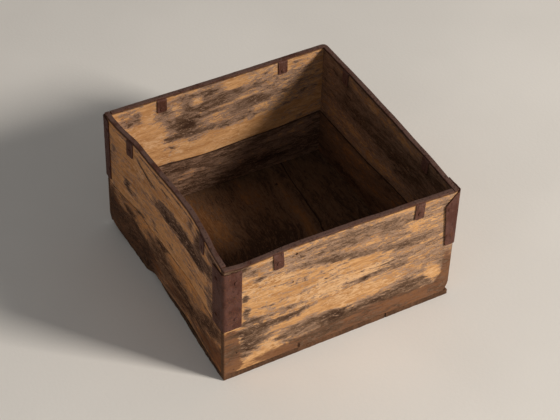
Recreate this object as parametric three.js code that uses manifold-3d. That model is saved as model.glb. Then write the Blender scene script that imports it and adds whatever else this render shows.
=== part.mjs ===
// A square wooden grain measure of one mal, about eighteen litres. Each wall is two boards, one above
// the other, on a floor of two planks. Flat iron bars bind the rim. Iron saddles riveted through the
// walls hold the bars' seats, and iron angles nailed round the corners hold the upper boards together.
// Millimetres, +Z up, front towards -Y, origin on the ground in the middle of the measure.

import * as THREE from 'three';
import { mergeVertices } from 'three/addons/utils/BufferGeometryUtils.js';
import Module from 'manifold-3d';

const wasm = await Module();
wasm.setup();

// Wood
const insideWidth = 317.6;
const wallThickness = 7.2;
const bottomThickness = 8;
const lowerBoardHeight = 73.7;
const upperBoardHeight = 107.1;
const boardEdge = 1.1;
const plankEdge = 0.7;
const plankGap = 0.8;

// Iron bars of the rim
const rimWidth = 6.8;
const rimThickness = 1.8;
const rimEdge = 0.6;
const rimEndGap = 0.7;

// Saddles that grip the walls' top edges
const saddleWidth = 14;
const saddleLeg = 24;
const saddleThickness = 1.2;
const saddleBend = 0.5;
const saddleToe = 1.6;
const rivetFromTop = 15;
const rivetShank = 1.4;
const rivetHead = 2.9;
const rivetDome = 1.3;

// Corner angles
const angleThickness = 1.5;
const angleNailHead = 2.6;
const angleNailDome = 1.1;
const angleNailShank = 1.1;
const angleNailDepth = 5.2;
const angleNailFromEnd = 17;

// Nails of the lower boards and of the floor
const longNailHead = 3.2;
const longNailShank = 1.3;
const longNailPlate = 1.2;
const cornerNailLength = 23;
const cornerNailHeight = 46;
const floorNailLength = 24;
const floorNailFromSide = 52;

// Nail points: where the taper starts and how thick the point is, as shares of length and shank
const nailTaperFrom = 0.6;
const nailTipShare = 0.45;

// Clearance between touching pieces
const fitGap = 0.3;

// Worked out from the sizes above
const innerHalf = insideWidth / 2;
const outerHalf = innerHalf + wallThickness;
const footHeight = bottomThickness + fitGap;
const seamHeight = footHeight + lowerBoardHeight;
const boardTop = seamHeight + fitGap + upperBoardHeight;
const rimUnderside = boardTop + fitGap;
const rimTop = rimUnderside + rimThickness;
const rimInset = (wallThickness - rimWidth) / 2;

// Facets
const stations = 20;
const roundSides = 10;
const nailSides = 8;
const bendSteps = 4;

const weatheredWood = new THREE.MeshStandardMaterial({ color: 0x9a6f42, roughness: 0.85, metalness: 0 });
const darkWood = new THREE.MeshStandardMaterial({ color: 0x5d4330, roughness: 0.9, metalness: 0 });
const rustyIron = new THREE.MeshStandardMaterial({ color: 0x4b3530, roughness: 0.7, metalness: 0.5 });

// The measure's corners. Old wood has shrunk and settled: rimDrop lowers the rim at a corner, seamLift
// raises the joint between the boards there, and round is the worn radius of the upright edge.
const frontLeft = { name: 'front_left', rimDrop: 4.2, seamLift: 0.5, round: 1.5 };
const frontRight = { name: 'front_right', rimDrop: 10.2, seamLift: 4.5, round: 2 };
const backRight = { name: 'back_right', rimDrop: 0, seamLift: -1, round: 8 };
const backLeft = { name: 'back_left', rimDrop: 0, seamLift: 0, round: 2 };

// The angle at each corner: its leaf on the wall that starts there and its leaf on the wall that ends
// there, how far its top stays below the rim's underside and its foot above the seam.
frontLeft.angle = { leafStart: 24, leafEnd: 26, belowRim: 4.6, aboveSeam: 4.5 };
frontRight.angle = {
  leafStart: 26, leafEnd: 20, belowRim: -2.1, aboveSeam: 6.5, trimAcross: 12.5, trimDown: 20,
};
backRight.angle = { leafStart: 26, leafEnd: 26, belowRim: 1.5, aboveSeam: 6 };
backLeft.angle = { leafStart: 15, leafEnd: 25, belowRim: 1.8, aboveSeam: 7 };

// The bow of a wall that has stayed straight
const straight = [[-1, 0], [1, 0]];

// Each wall as seen from outside, from its left end (-1) to its right end (1). rimSag and seamWave say
// how its two lines wander between the corners, footWear how much its lower edge has lost, bow how far
// the wall bulges inwards at the rim, and bowAtFoot the share of that bulge that its foot has.
const front = {
  name: 'front', turn: 0, through: true, start: frontLeft, end: frontRight,
  rimSag: [[-0.85, 7], [-0.4, 3.6], [0, 4.6], [0.5, 7.6]],
  seamWave: [[-0.38, -3.3], [-0.12, -0.6], [0.4, 1.5]],
  footWear: [[-1, 0], [1, 0]],
  bow: straight, bowAtFoot: 0,
  saddlesFromEnds: [73, 58],
};
const right = {
  name: 'right', turn: Math.PI / 2, through: false, start: frontRight, end: backRight,
  rimSag: [[-0.5, 5], [0, 1.6], [0.4, 0]],
  seamWave: [[-0.3, 4], [0.3, -1.5]],
  footWear: [[-1, 0], [1, 0]],
  bow: straight, bowAtFoot: 0,
  saddlesFromEnds: [66, 68],
};
const back = {
  name: 'back', turn: Math.PI, through: true, start: backRight, end: backLeft,
  rimSag: [[0, 0.6]],
  seamWave: [[-0.4, -7], [0.13, -10], [0.56, -6]],
  footWear: [[-1, 0], [0.94, 0], [1, 11]],
  bow: straight, bowAtFoot: 0,
  saddlesFromEnds: [70.5, 79.5],
};
const left = {
  name: 'left', turn: -Math.PI / 2, through: false, start: backLeft, end: frontLeft,
  rimSag: [[0, 0], [0.5, 1], [0.9, 2.4]],
  seamWave: [[-0.4, 2], [0.3, -1]],
  footWear: [[-1, 6], [-0.85, 1.5], [-0.6, 0.5], [-0.36, 0], [-0.28, 5], [0.2, 3], [0.75, 0], [1, 0]],
  bow: [[-0.9, 0], [-0.45, 6.9], [0.28, 10.4], [0.97, 0]], bowAtFoot: 0.45,
  saddlesFromEnds: [67.5, 64],
};
const walls = [front, right, back, left];

// Floor: the joint between its two planks, as [y, x], and the broken left edge, as [y, loss]
const plankSeam = [[-1, 70], [-0.35, 74], [0.05, 80], [0.2, 85.5], [0.6, 91], [1, 98]];
const plankLoss = [[-1, 0], [-0.75, 1], [-0.1, 6], [0.26, 9], [0.38, 4], [0.9, 4], [1, 6]];

// The left wall's split and the front wall's broken corner, with outlines as shares of width and height
const splitAt = 54;
const splitWidth = 3;
const splitHeight = 17;
const splitOutline = [[-0.5, 0], [0.5, 0], [0.4, 0.6], [0.7, 1], [0, 0.7]];
const chipWidth = 7;
const chipHeight = 16;
const chipOutline = [[-1, 0], [0, 0], [0, 1], [-0.35, 0.7], [-0.55, 0.3]];

// Half outline of a hammered dome, as shares of its radius and height
const domeOutline = [[1, 0], [0.86, 0.55], [0.5, 0.88], [0, 1]];

// How far cutters run past what they cut
const cutMargin = 1;

// Value of a line that passes smoothly through [place, value] points
function lineAt(points, place) {
  const last = points.length - 1;
  const index = Math.max(1, Math.min(last, points.findIndex((point) => point[0] >= place)));
  const [placeA, valueA] = points[index - 1];
  const [placeB, valueB] = points[index];
  const share = Math.max(0, Math.min(1, (place - placeA) / (placeB - placeA)));
  return valueA + (valueB - valueA) * share * share * (3 - 2 * share);
}

function rimDropAt(wall, s) {
  return lineAt([[-1, wall.start.rimDrop], ...wall.rimSag, [1, wall.end.rimDrop]], s / outerHalf);
}

function topAt(wall, s) {
  return boardTop - rimDropAt(wall, s);
}

function seamAt(wall, s) {
  const wave = [[-1, wall.start.seamLift], ...wall.seamWave, [1, wall.end.seamLift]];
  return seamHeight + lineAt(wave, s / outerHalf);
}

function footAt(wall, s) {
  return footHeight + lineAt(wall.footWear, s / outerHalf);
}

// How far the wall stands inwards of its straight place
function bowAt(wall, s, z) {
  return lineAt(wall.bow, s / outerHalf) * (wall.bowAtFoot + (1 - wall.bowAtFoot) * (z / rimTop));
}

// A frame on the wall's outer face: x along the wall, y into the wood, z up the wall
function faceFrame(wall, s, z, lineHeight = () => z) {
  const step = 1;
  const along = new THREE.Vector3(
    2 * step,
    bowAt(wall, s + step, z) - bowAt(wall, s - step, z),
    lineHeight(wall, s + step) - lineHeight(wall, s - step),
  ).normalize();
  const up = new THREE.Vector3(0, bowAt(wall, s, z + step) - bowAt(wall, s, z - step), 2 * step);
  const inward = new THREE.Vector3().crossVectors(up, along).normalize();
  up.crossVectors(along, inward);
  const frame = new THREE.Matrix4().makeBasis(along, inward, up);
  return frame.setPosition(s, bowAt(wall, s, z) - outerHalf, z);
}

// A frame on the straight plane that the corner angles lie on
function planeFrame(s, z) {
  return new THREE.Matrix4().makeTranslation(s, -outerHalf, z);
}

// The same frame as another wall's group sees it
function seenFrom(frame, ownWall, otherWall) {
  return new THREE.Matrix4().makeRotationZ(ownWall.turn - otherWall.turn).multiply(frame);
}

function toSolid(geometry) {
  geometry.deleteAttribute('normal');
  geometry.deleteAttribute('uv');
  const merged = mergeVertices(geometry, 1e-4);
  const vertProperties = new Float32Array(merged.attributes.position.array);
  const triVerts = new Uint32Array(merged.index.array);
  return new wasm.Manifold(new wasm.Mesh({ numProp: 3, vertProperties, triVerts }));
}

function toGeometry(solid) {
  const { vertProperties, triVerts } = solid.getMesh();
  const geometry = new THREE.BufferGeometry();
  geometry.setAttribute('position', new THREE.BufferAttribute(vertProperties, 3));
  geometry.setIndex(new THREE.BufferAttribute(triVerts, 1));
  geometry.computeVertexNormals();
  return geometry;
}

// A closed body through rings of [y, z] points, one ring for each place along x
function loft(places, ringAt) {
  const rings = places.map(ringAt);
  const size = rings[0].length;
  const positions = rings.flatMap((ring, i) => ring.flatMap(([y, z]) => [places[i], y, z]));
  const index = [];
  for (let i = 0; i + 1 < rings.length; i += 1) {
    for (let j = 0; j < size; j += 1) {
      const a = i * size + j;
      const b = i * size + ((j + 1) % size);
      index.push(a, b, b + size, a, b + size, a + size);
    }
  }
  const endRing = (rings.length - 1) * size;
  for (let j = 1; j + 1 < size; j += 1) {
    index.push(0, j + 1, j);
    index.push(endRing, endRing + j, endRing + j + 1);
  }
  const geometry = new THREE.BufferGeometry();
  geometry.setAttribute('position', new THREE.Float32BufferAttribute(positions, 3));
  geometry.setIndex(index);
  return geometry;
}

// Rectangle with its four corners eased
function easedRectangle(yLow, yHigh, zLow, zHigh, edge) {
  return [
    [yLow + edge, zLow], [yHigh - edge, zLow], [yHigh, zLow + edge], [yHigh, zHigh - edge],
    [yHigh - edge, zHigh], [yLow + edge, zHigh], [yLow, zHigh - edge], [yLow, zLow + edge],
  ];
}

// A strip that follows its wall's bow between two lines
function wallStrip(wall, from, to, thickness, inset, edge, lowLine, highLine) {
  const places = Array.from({ length: stations + 1 }, (_, i) => from + ((to - from) * i) / stations);
  return loft(places, (s) => {
    const outer = inset - outerHalf;
    const ring = easedRectangle(outer, outer + thickness, lowLine(wall, s), highLine(wall, s), edge);
    return ring.map(([y, z]) => [y + bowAt(wall, s, z), z]);
  });
}

// Upright prism whose two front corners have the worn radii of the wall's ends
function cornerRounder(wall, inset) {
  const reach = outerHalf - inset;
  const { round: startRound } = wall.start;
  const { round: endRound } = wall.end;
  const shape = new THREE.Shape();
  shape.moveTo(reach, 0);
  shape.lineTo(-reach, 0);
  shape.lineTo(-reach, startRound - reach);
  shape.absarc(startRound - reach, startRound - reach, startRound, Math.PI, 1.5 * Math.PI, false);
  shape.lineTo(reach - endRound, -reach);
  shape.absarc(reach - endRound, endRound - reach, endRound, 1.5 * Math.PI, 2 * Math.PI, false);
  shape.closePath();
  const depth = 2 * rimTop;
  return toSolid(new THREE.ExtrudeGeometry(shape, { depth, bevelEnabled: false, curveSegments: bendSteps }));
}

// A round cutter along the frame's y, from its face into the wood
function drill(frame, radius, from, to) {
  const cutter = new THREE.CylinderGeometry(radius, radius, to - from, roundSides);
  cutter.translate(0, (from + to) / 2, 0);
  cutter.applyMatrix4(frame);
  return toSolid(cutter);
}

function blockCutter(frame, width, yLow, yHigh, zLow, zHigh) {
  const cutter = new THREE.BoxGeometry(width, yHigh - yLow, zHigh - zLow);
  cutter.translate(0, (yLow + yHigh) / 2, (zLow + zHigh) / 2);
  cutter.applyMatrix4(frame);
  return toSolid(cutter);
}

// An outline in the wall's x and z, cut right through its thickness
function facePrism(points, reach) {
  const shape = new THREE.Shape(points.map(([x, z]) => new THREE.Vector2(x, z)));
  const prism = new THREE.ExtrudeGeometry(shape, { depth: 2 * reach, bevelEnabled: false });
  prism.rotateX(Math.PI / 2);
  prism.translate(0, reach, 0);
  return prism;
}

function saddlePlaces(wall) {
  const [fromStart, fromEnd] = wall.saddlesFromEnds;
  return [fromStart - outerHalf, outerHalf - fromEnd];
}

function saddleFrames(wall) {
  return saddlePlaces(wall).map((s) => faceFrame(wall, s, topAt(wall, s), topAt));
}

function rivetFrame(saddleFrame) {
  return saddleFrame.clone().multiply(new THREE.Matrix4().makeTranslation(0, 0, -rivetFromTop));
}

// Foot and top of the angle at a corner
function angleSpan(corner) {
  return {
    foot: seamHeight + corner.seamLift + corner.angle.aboveSeam,
    top: rimUnderside - corner.rimDrop - corner.angle.belowRim,
  };
}

// Frames of the angle nails that go into one wall, at its start and at its end
function angleNailFrames(wall) {
  const places = [
    [wall.start, (wallThickness + wall.start.angle.leafStart) / 2 - outerHalf],
    [wall.end, outerHalf - (wallThickness + wall.end.angle.leafEnd) / 2],
  ];
  return places.flatMap(([corner, s]) => {
    const { foot, top } = angleSpan(corner);
    const heights = [foot + angleNailFromEnd, top - angleNailFromEnd - (corner.angle.trimDown ?? 0) / 2];
    return heights.map((z, i) => ({
      corner,
      name: `angle_nail_${corner.name}_${wall.name}_${i === 0 ? 'low' : 'high'}`,
      frame: planeFrame(s, z),
    }));
  });
}

// Frames of the nails through a lower board into the ends of the side boards
function cornerNailFrames(wall) {
  const s = outerHalf - wallThickness / 2;
  return [
    { corner: wall.start, frame: faceFrame(wall, -s, cornerNailHeight) },
    { corner: wall.end, frame: faceFrame(wall, s, cornerNailHeight) },
  ];
}

// Frames of the nails that hold the floor to a through wall, pointing up
function floorNailFrames(wall) {
  const seam = lineAt(plankSeam, wall === front ? -1 : 1);
  const side = wall === front ? 1 : -1;
  const places = [floorNailFromSide - outerHalf, seam - floorNailFromSide, (seam + outerHalf) / 2];
  return places.map((x) => {
    const frame = new THREE.Matrix4().makeRotationX(Math.PI / 2);
    return frame.setPosition(side * x, wallThickness / 2 - outerHalf, 0);
  });
}

function makeUpperBoard(wall) {
  const reach = wall.through ? outerHalf : innerHalf - fitGap;
  const foot = (own, s) => seamAt(own, s) + fitGap;
  let board = toSolid(wallStrip(wall, -reach, reach, wallThickness, 0, boardEdge, foot, topAt));
  if (wall.through) {
    board = board.intersect(cornerRounder(wall, 0));
  }
  for (const frame of saddleFrames(wall)) {
    const depth = saddleThickness + fitGap;
    board = board.subtract(
      blockCutter(frame, saddleWidth + 2 * fitGap, -wallThickness, 2 * wallThickness, -depth, 2 * depth),
    );
    board = board.subtract(drill(rivetFrame(frame), rivetShank + fitGap, -wallThickness, 2 * wallThickness));
  }
  for (const { frame } of angleNailFrames(wall)) {
    board = board.subtract(drill(frame, angleNailShank + fitGap, -wallThickness, angleNailDepth + fitGap));
  }
  return board;
}

function makeLowerBoard(wall) {
  const reach = wall.through ? outerHalf : innerHalf - fitGap;
  let board = toSolid(wallStrip(wall, -reach, reach, wallThickness, 0, boardEdge, footAt, seamAt));
  if (wall.through) {
    board = board.intersect(cornerRounder(wall, 0));
    for (const { frame } of cornerNailFrames(wall)) {
      board = board.subtract(drill(frame, longNailShank + fitGap, -wallThickness, 2 * wallThickness));
      board = board.subtract(drill(frame, longNailHead + fitGap, -wallThickness, longNailPlate + 2 * fitGap));
    }
    for (const frame of floorNailFrames(wall)) {
      board = board.subtract(drill(frame, longNailShank + fitGap, 0, floorNailLength + fitGap));
    }
  } else {
    for (const throughWall of [front, back]) {
      for (const { frame } of cornerNailFrames(throughWall)) {
        const seen = seenFrom(frame, throughWall, wall);
        board = board.subtract(drill(seen, longNailShank + fitGap, 0, cornerNailLength + fitGap));
      }
    }
  }
  if (wall === left) {
    board = board.subtract(toSolid(splitWedge()));
  }
  if (wall === front) {
    board = board.subtract(toSolid(chippedCorner()));
  }
  return board;
}

// The split that runs up from the lower edge of the left wall
function splitWedge() {
  const s = -splitAt;
  const z = footAt(left, s) - cutMargin;
  const points = splitOutline.map(([across, up]) => [s + across * splitWidth, z + up * splitHeight]);
  return facePrism(points, 2 * outerHalf);
}

// The broken lower right corner of the front wall
function chippedCorner() {
  const z = footHeight - cutMargin;
  const end = outerHalf + cutMargin;
  const points = chipOutline.map(([across, up]) => [end + across * chipWidth, z + up * chipHeight]);
  return facePrism(points, 2 * outerHalf);
}

// One bar of the rim, butted against the next wall's bar
function makeRimBar(wall) {
  const from = rimInset - outerHalf;
  const to = outerHalf - rimInset - rimWidth - rimEndGap;
  const underside = (own, s) => topAt(own, s) + fitGap;
  const top = (own, s) => topAt(own, s) + fitGap + rimThickness;
  const bar = toSolid(wallStrip(wall, from, to, rimWidth, rimInset, rimEdge, underside, top));
  return bar.intersect(cornerRounder(wall, rimInset));
}

// The saddle's strap, bent over the wall's top edge with a leg down each face
function saddleProfile() {
  const inner = fitGap;
  const outer = fitGap + saddleThickness;
  const bend = saddleBend + saddleThickness;
  const far = wallThickness;
  const shape = new THREE.Shape();
  shape.moveTo(-outer, -saddleLeg);
  shape.lineTo(-inner, -saddleLeg);
  shape.lineTo(-inner, -saddleThickness - saddleBend);
  shape.absarc(saddleBend - inner, -bend, saddleBend, Math.PI, Math.PI / 2, true);
  shape.lineTo(far + inner - saddleBend, -saddleThickness);
  shape.absarc(far + inner - saddleBend, -bend, saddleBend, Math.PI / 2, 0, true);
  shape.lineTo(far + inner, -saddleLeg);
  shape.lineTo(far + outer, -saddleLeg);
  shape.lineTo(far + outer, -bend);
  shape.absarc(far + outer - bend, -bend, bend, 0, Math.PI / 2, false);
  shape.lineTo(bend - outer, 0);
  shape.absarc(bend - outer, -bend, bend, Math.PI / 2, Math.PI, false);
  shape.closePath();
  return shape;
}

function makeSaddle() {
  const options = { depth: saddleWidth, bevelEnabled: false, curveSegments: bendSteps };
  const strap = new THREE.ExtrudeGeometry(saddleProfile(), options);
  strap.translate(0, 0, -saddleWidth / 2);
  strap.applyMatrix4(new THREE.Matrix4().makeBasis(
    new THREE.Vector3(0, 1, 0),
    new THREE.Vector3(0, 0, 1),
    new THREE.Vector3(1, 0, 0),
  ));
  const half = saddleWidth / 2;
  const toes = facePrism([
    [-half, cutMargin], [-half, saddleToe - saddleLeg], [saddleToe - half, -saddleLeg],
    [half - saddleToe, -saddleLeg], [half, saddleToe - saddleLeg], [half, cutMargin],
  ], 4 * wallThickness);
  const atRivet = new THREE.Matrix4().makeTranslation(0, 0, -rivetFromTop);
  const hole = drill(atRivet, rivetShank + fitGap, -wallThickness, 3 * wallThickness);
  return toSolid(strap).intersect(toSolid(toes)).subtract(hole);
}

// Half outline of a dome from its rim to the axis, as [radius, height]
function dome(radius, height) {
  return domeOutline.map(([across, up]) => [across * radius, up * height]);
}

// A rivet through both legs and the wall, with a dome at each end
function rivetGeometry() {
  const near = -2 * fitGap - saddleThickness;
  const far = wallThickness + 2 * fitGap + saddleThickness;
  const nearHead = dome(rivetHead, rivetDome).reverse().map(([r, h]) => [r, near - h]);
  const farHead = dome(rivetHead, rivetDome).map(([r, h]) => [r, far + h]);
  return revolve([...nearHead, [rivetShank, near], [rivetShank, far], ...farHead], roundSides);
}

// A nail whose head sits at y = seat and whose tapered shank runs to y = tip
function nailGeometry(head, headOutline, shank, seat, tip) {
  const outline = headOutline.reverse().map(([r, h]) => [r, seat - h]);
  const point = [[shank, seat], [shank, nailTaperFrom * tip], [nailTipShare * shank, tip], [0, tip]];
  return revolve([...outline, ...point], nailSides);
}

function revolve(outline, sides) {
  const points = outline.map(([r, y]) => new THREE.Vector2(r, y));
  return toGeometry(toSolid(new THREE.LatheGeometry(points, sides)));
}

// Plan of a corner angle, in the frame of the wall that starts at the corner
function anglePlan(corner) {
  const { leafStart, leafEnd } = corner.angle;
  const edge = -outerHalf;
  const centre = edge + corner.round;
  const near = edge - fitGap;
  const far = near - angleThickness;
  const shape = new THREE.Shape();
  shape.moveTo(edge + leafStart, far);
  shape.lineTo(edge + leafStart, near);
  shape.lineTo(centre, near);
  shape.absarc(centre, centre, corner.round + fitGap, 1.5 * Math.PI, Math.PI, true);
  shape.lineTo(near, edge + leafEnd);
  shape.lineTo(far, edge + leafEnd);
  shape.lineTo(far, centre);
  shape.absarc(centre, centre, corner.round + fitGap + angleThickness, Math.PI, 1.5 * Math.PI, false);
  shape.closePath();
  return shape;
}

function makeAngle(wall, wallBefore) {
  const corner = wall.start;
  const { foot, top } = angleSpan(corner);
  const options = { depth: top - foot, bevelEnabled: false, curveSegments: bendSteps };
  const plate = new THREE.ExtrudeGeometry(anglePlan(corner), options);
  plate.translate(0, 0, foot);
  let angle = toSolid(plate);
  const nails = [
    ...angleNailFrames(wall).map((nail) => ({ ...nail, seen: nail.frame })),
    ...angleNailFrames(wallBefore).map((nail) => ({ ...nail, seen: seenFrom(nail.frame, wallBefore, wall) })),
  ].filter((nail) => nail.corner === corner);
  for (const { seen } of nails) {
    angle = angle.subtract(drill(seen, angleNailShank + fitGap, -wallThickness, wallThickness));
  }
  if (corner.angle.trimAcross) {
    angle = angle.subtract(toSolid(angleTrim(corner, top)));
  }
  return angle;
}

// The slanting cut on the free upper corner of an angle's leaf on the wall before
function angleTrim(corner, top) {
  const { leafEnd, trimAcross, trimDown } = corner.angle;
  const free = leafEnd - outerHalf;
  const shape = new THREE.Shape([
    new THREE.Vector2(free - trimAcross, top + cutMargin),
    new THREE.Vector2(free - trimAcross, top),
    new THREE.Vector2(free, top - trimDown),
    new THREE.Vector2(free + cutMargin, top - trimDown),
    new THREE.Vector2(free + cutMargin, top + cutMargin),
  ]);
  const prism = new THREE.ExtrudeGeometry(shape, { depth: 2 * wallThickness, bevelEnabled: false });
  prism.applyMatrix4(new THREE.Matrix4().makeBasis(
    new THREE.Vector3(0, 1, 0),
    new THREE.Vector3(0, 0, 1),
    new THREE.Vector3(1, 0, 0),
  ));
  prism.translate(-outerHalf - wallThickness, 0, 0);
  return prism;
}

// Points across the floor from front to back, [x, y], along a line given as [y, x] between -1 and 1
function acrossFloor(xAt) {
  const reach = outerHalf - plankEdge;
  const places = Array.from({ length: stations + 1 }, (_, i) => (2 * i) / stations - 1);
  return places.map((y) => [xAt(y), y * reach]);
}

function leftPlankPlan() {
  const reach = outerHalf - plankEdge;
  const seam = acrossFloor((y) => lineAt(plankSeam, y) - plankGap / 2 - plankEdge);
  const edge = acrossFloor((y) => lineAt(plankLoss, y) - reach);
  return [...seam, ...edge.reverse()];
}

function rightPlankPlan() {
  const reach = outerHalf - plankEdge;
  const seam = acrossFloor((y) => lineAt(plankSeam, y) + plankGap / 2 + plankEdge);
  return [[reach, -reach], [reach, reach], ...seam.reverse()];
}

function makePlank(plan) {
  const options = {
    depth: bottomThickness - 2 * plankEdge,
    bevelEnabled: true, bevelSize: plankEdge, bevelThickness: plankEdge, bevelSegments: 1,
  };
  const shape = new THREE.Shape(plan.map(([x, y]) => new THREE.Vector2(x, y)));
  const slab = new THREE.ExtrudeGeometry(shape, options);
  slab.translate(0, 0, plankEdge);
  let plank = toSolid(slab);
  for (const wall of [front, back]) {
    for (const frame of floorNailFrames(wall)) {
      const seen = new THREE.Matrix4().makeRotationZ(wall.turn).multiply(frame);
      const through = bottomThickness + cutMargin;
      plank = plank.subtract(drill(seen, longNailShank + fitGap, -cutMargin, through));
      plank = plank.subtract(drill(seen, longNailHead + fitGap, -cutMargin, longNailPlate + 2 * fitGap));
    }
  }
  return plank;
}

function placed(geometry, material, name, frame = new THREE.Matrix4()) {
  const mesh = new THREE.Mesh(geometry, material);
  mesh.name = name;
  frame.decompose(mesh.position, mesh.quaternion, mesh.scale);
  return mesh;
}

function buildWall(wall, wallBefore, parts) {
  const group = new THREE.Group();
  group.rotation.z = wall.turn;
  group.add(placed(toGeometry(makeUpperBoard(wall)), weatheredWood, `${wall.name}_upper_board`));
  group.add(placed(toGeometry(makeLowerBoard(wall)), weatheredWood, `${wall.name}_lower_board`));
  group.add(placed(toGeometry(makeRimBar(wall)), rustyIron, `rim_bar_${wall.name}`));
  group.add(placed(toGeometry(makeAngle(wall, wallBefore)), rustyIron, `corner_angle_${wall.start.name}`));
  saddleFrames(wall).forEach((frame, i) => {
    const place = `${wall.name}_${i === 0 ? 'start' : 'end'}`;
    group.add(placed(parts.saddle, rustyIron, `rim_saddle_${place}`, frame));
    group.add(placed(parts.rivet, rustyIron, `saddle_rivet_${place}`, rivetFrame(frame)));
  });
  for (const { name, frame } of angleNailFrames(wall)) {
    group.add(placed(parts.angleNail, rustyIron, name, frame));
  }
  if (wall.through) {
    for (const { corner, frame } of cornerNailFrames(wall)) {
      group.add(placed(parts.cornerNail, rustyIron, `corner_nail_${corner.name}`, frame));
    }
    floorNailFrames(wall).forEach((frame, i) => {
      group.add(placed(parts.floorNail, rustyIron, `floor_nail_${wall.name}_${i + 1}`, frame));
    });
  }
  return group;
}

function buildMeasure() {
  const angleSeat = -2 * fitGap - angleThickness;
  const flatHead = [[longNailHead, 0], [longNailHead, longNailPlate], [0, longNailPlate]];
  const longSeat = longNailPlate + fitGap;
  const angleHead = dome(angleNailHead, angleNailDome);
  const parts = {
    saddle: toGeometry(makeSaddle()),
    rivet: rivetGeometry(),
    angleNail: nailGeometry(angleNailHead, angleHead, angleNailShank, angleSeat, angleNailDepth),
    cornerNail: nailGeometry(longNailHead, [...flatHead], longNailShank, longSeat, cornerNailLength),
    floorNail: nailGeometry(longNailHead, [...flatHead], longNailShank, longSeat, floorNailLength),
  };
  const measure = new THREE.Group();
  walls.forEach((wall, i) => {
    measure.add(buildWall(wall, walls[(i + walls.length - 1) % walls.length], parts));
  });
  measure.add(placed(toGeometry(makePlank(leftPlankPlan())), darkWood, 'floor_plank_left'));
  measure.add(placed(toGeometry(makePlank(rightPlankPlan())), darkWood, 'floor_plank_right'));
  return measure;
}

const group = buildMeasure();

export default group;
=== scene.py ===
"""Dressed model of the grain measure: worn boards, rusty rim and corner irons, floor, light and camera."""

import logging
import math
from dataclasses import dataclass, field
from enum import Enum
from functools import partial
from random import Random
from typing import Callable, Sequence

import bpy
import numpy as np
from mathutils import Matrix


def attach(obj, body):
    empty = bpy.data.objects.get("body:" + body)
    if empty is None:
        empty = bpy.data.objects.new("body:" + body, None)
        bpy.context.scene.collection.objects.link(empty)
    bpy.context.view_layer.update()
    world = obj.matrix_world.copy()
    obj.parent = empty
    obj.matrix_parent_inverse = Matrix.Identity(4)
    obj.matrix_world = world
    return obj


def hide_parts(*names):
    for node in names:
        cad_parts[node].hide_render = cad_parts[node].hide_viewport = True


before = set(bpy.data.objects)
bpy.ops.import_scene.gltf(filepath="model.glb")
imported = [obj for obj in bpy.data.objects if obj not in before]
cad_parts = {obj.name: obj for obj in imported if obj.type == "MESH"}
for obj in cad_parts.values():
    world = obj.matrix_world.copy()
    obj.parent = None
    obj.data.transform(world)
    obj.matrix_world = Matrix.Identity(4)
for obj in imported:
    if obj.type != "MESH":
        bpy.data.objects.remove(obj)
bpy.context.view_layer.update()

log = logging.getLogger("grain_measure")

MM = 0.001
Array = np.ndarray
Shape = Callable[[Array], Array]
Points = Sequence[tuple[float, float]]
Oval = tuple[float, ...]
Colour = tuple[float, float, float]
Obj = bpy.types.Object
Socket = bpy.types.NodeSocket
Material = bpy.types.Material

# The measure's own sizes, in millimetres.
INNER = 158.8
OUTER = 166.0
THICK = 7.2
BOTTOM = 8.0
GAP = 0.3
FOOT = BOTTOM + GAP
SEAM = FOOT + 73.7
TOP = SEAM + GAP + 107.1
RIM_WIDTH = 6.8
RIM_THICK = 1.8
RIM_GAP = 0.7
RIM_INSET = (THICK - RIM_WIDTH) / 2
RIM_TOP = TOP + GAP + RIM_THICK
# Iron edges sharper than this many degrees stay sharp.
IRON_CREASE = 50


def line_at(points: Points, place: Array) -> Array:
    """Value of a line that passes smoothly through its points.

    Args:
        points: (place, value) pairs in rising order of place.
        place: where the line is read.

    Returns:
        The line's value at each place.
    """
    places, values = np.array(points, float).T
    after = np.clip(np.searchsorted(places, place), 1, len(places) - 1)
    share = np.clip((place - places[after - 1]) / (places[after] - places[after - 1]), 0, 1)
    share = share * share * (3 - 2 * share)
    return values[after - 1] + (values[after] - values[after - 1]) * share


def ripple(place: Array, seed: int, height: float, length: float) -> Array:
    """Uneven line that a worn edge follows.

    Args:
        place: places along the edge, in millimetres.
        seed: picks one of many such lines.
        height: how far the line wanders either way.
        length: length of its longest wave.

    Returns:
        The line's offset at each place.
    """
    rng = Random(seed)
    total = np.zeros_like(place)
    for octave in range(5):
        turn = math.tau * 2**octave / length * rng.uniform(0.8, 1.25)
        total = total + np.sin(place * turn + rng.uniform(0, math.tau)) / 1.6**octave
    return total * height / 2.4


@dataclass(frozen=True)
class Corner:
    """One upright corner: how it has settled and the iron angle nailed round it, in millimetres."""

    name: str
    rim_drop: float
    seam_lift: float
    round: float
    leaf_start: float
    leaf_end: float
    below_rim: float
    above_seam: float
    trim_across: float = 0.0
    trim_down: float = 0.0
    lift_end: float = 0.0
    taper: float = 0.0

    @property
    def foot(self) -> float:
        """Height of the angle's lower end."""
        return SEAM + self.seam_lift + self.above_seam

    @property
    def top(self) -> float:
        """Height of the angle's upper end."""
        return TOP + GAP - self.rim_drop - self.below_rim

    @property
    def bend(self) -> float:
        """Half length of the angle's bend, along its inner face."""
        return (self.round + GAP) * math.pi / 4


FRONT_LEFT = Corner("front_left", 4.2, 0.5, 1.5, 24, 26, 4.6, 4.5)
FRONT_RIGHT = Corner("front_right", 10.2, 4.5, 2, 26, 20, -2.1, 6.5, 12.5, 20, 0.9, 0.3)
BACK_RIGHT = Corner("back_right", 0, -1, 8, 26, 26, 1.5, 6)
BACK_LEFT = Corner("back_left", 0, 0, 2, 15, 25, 1.8, 7)


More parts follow.
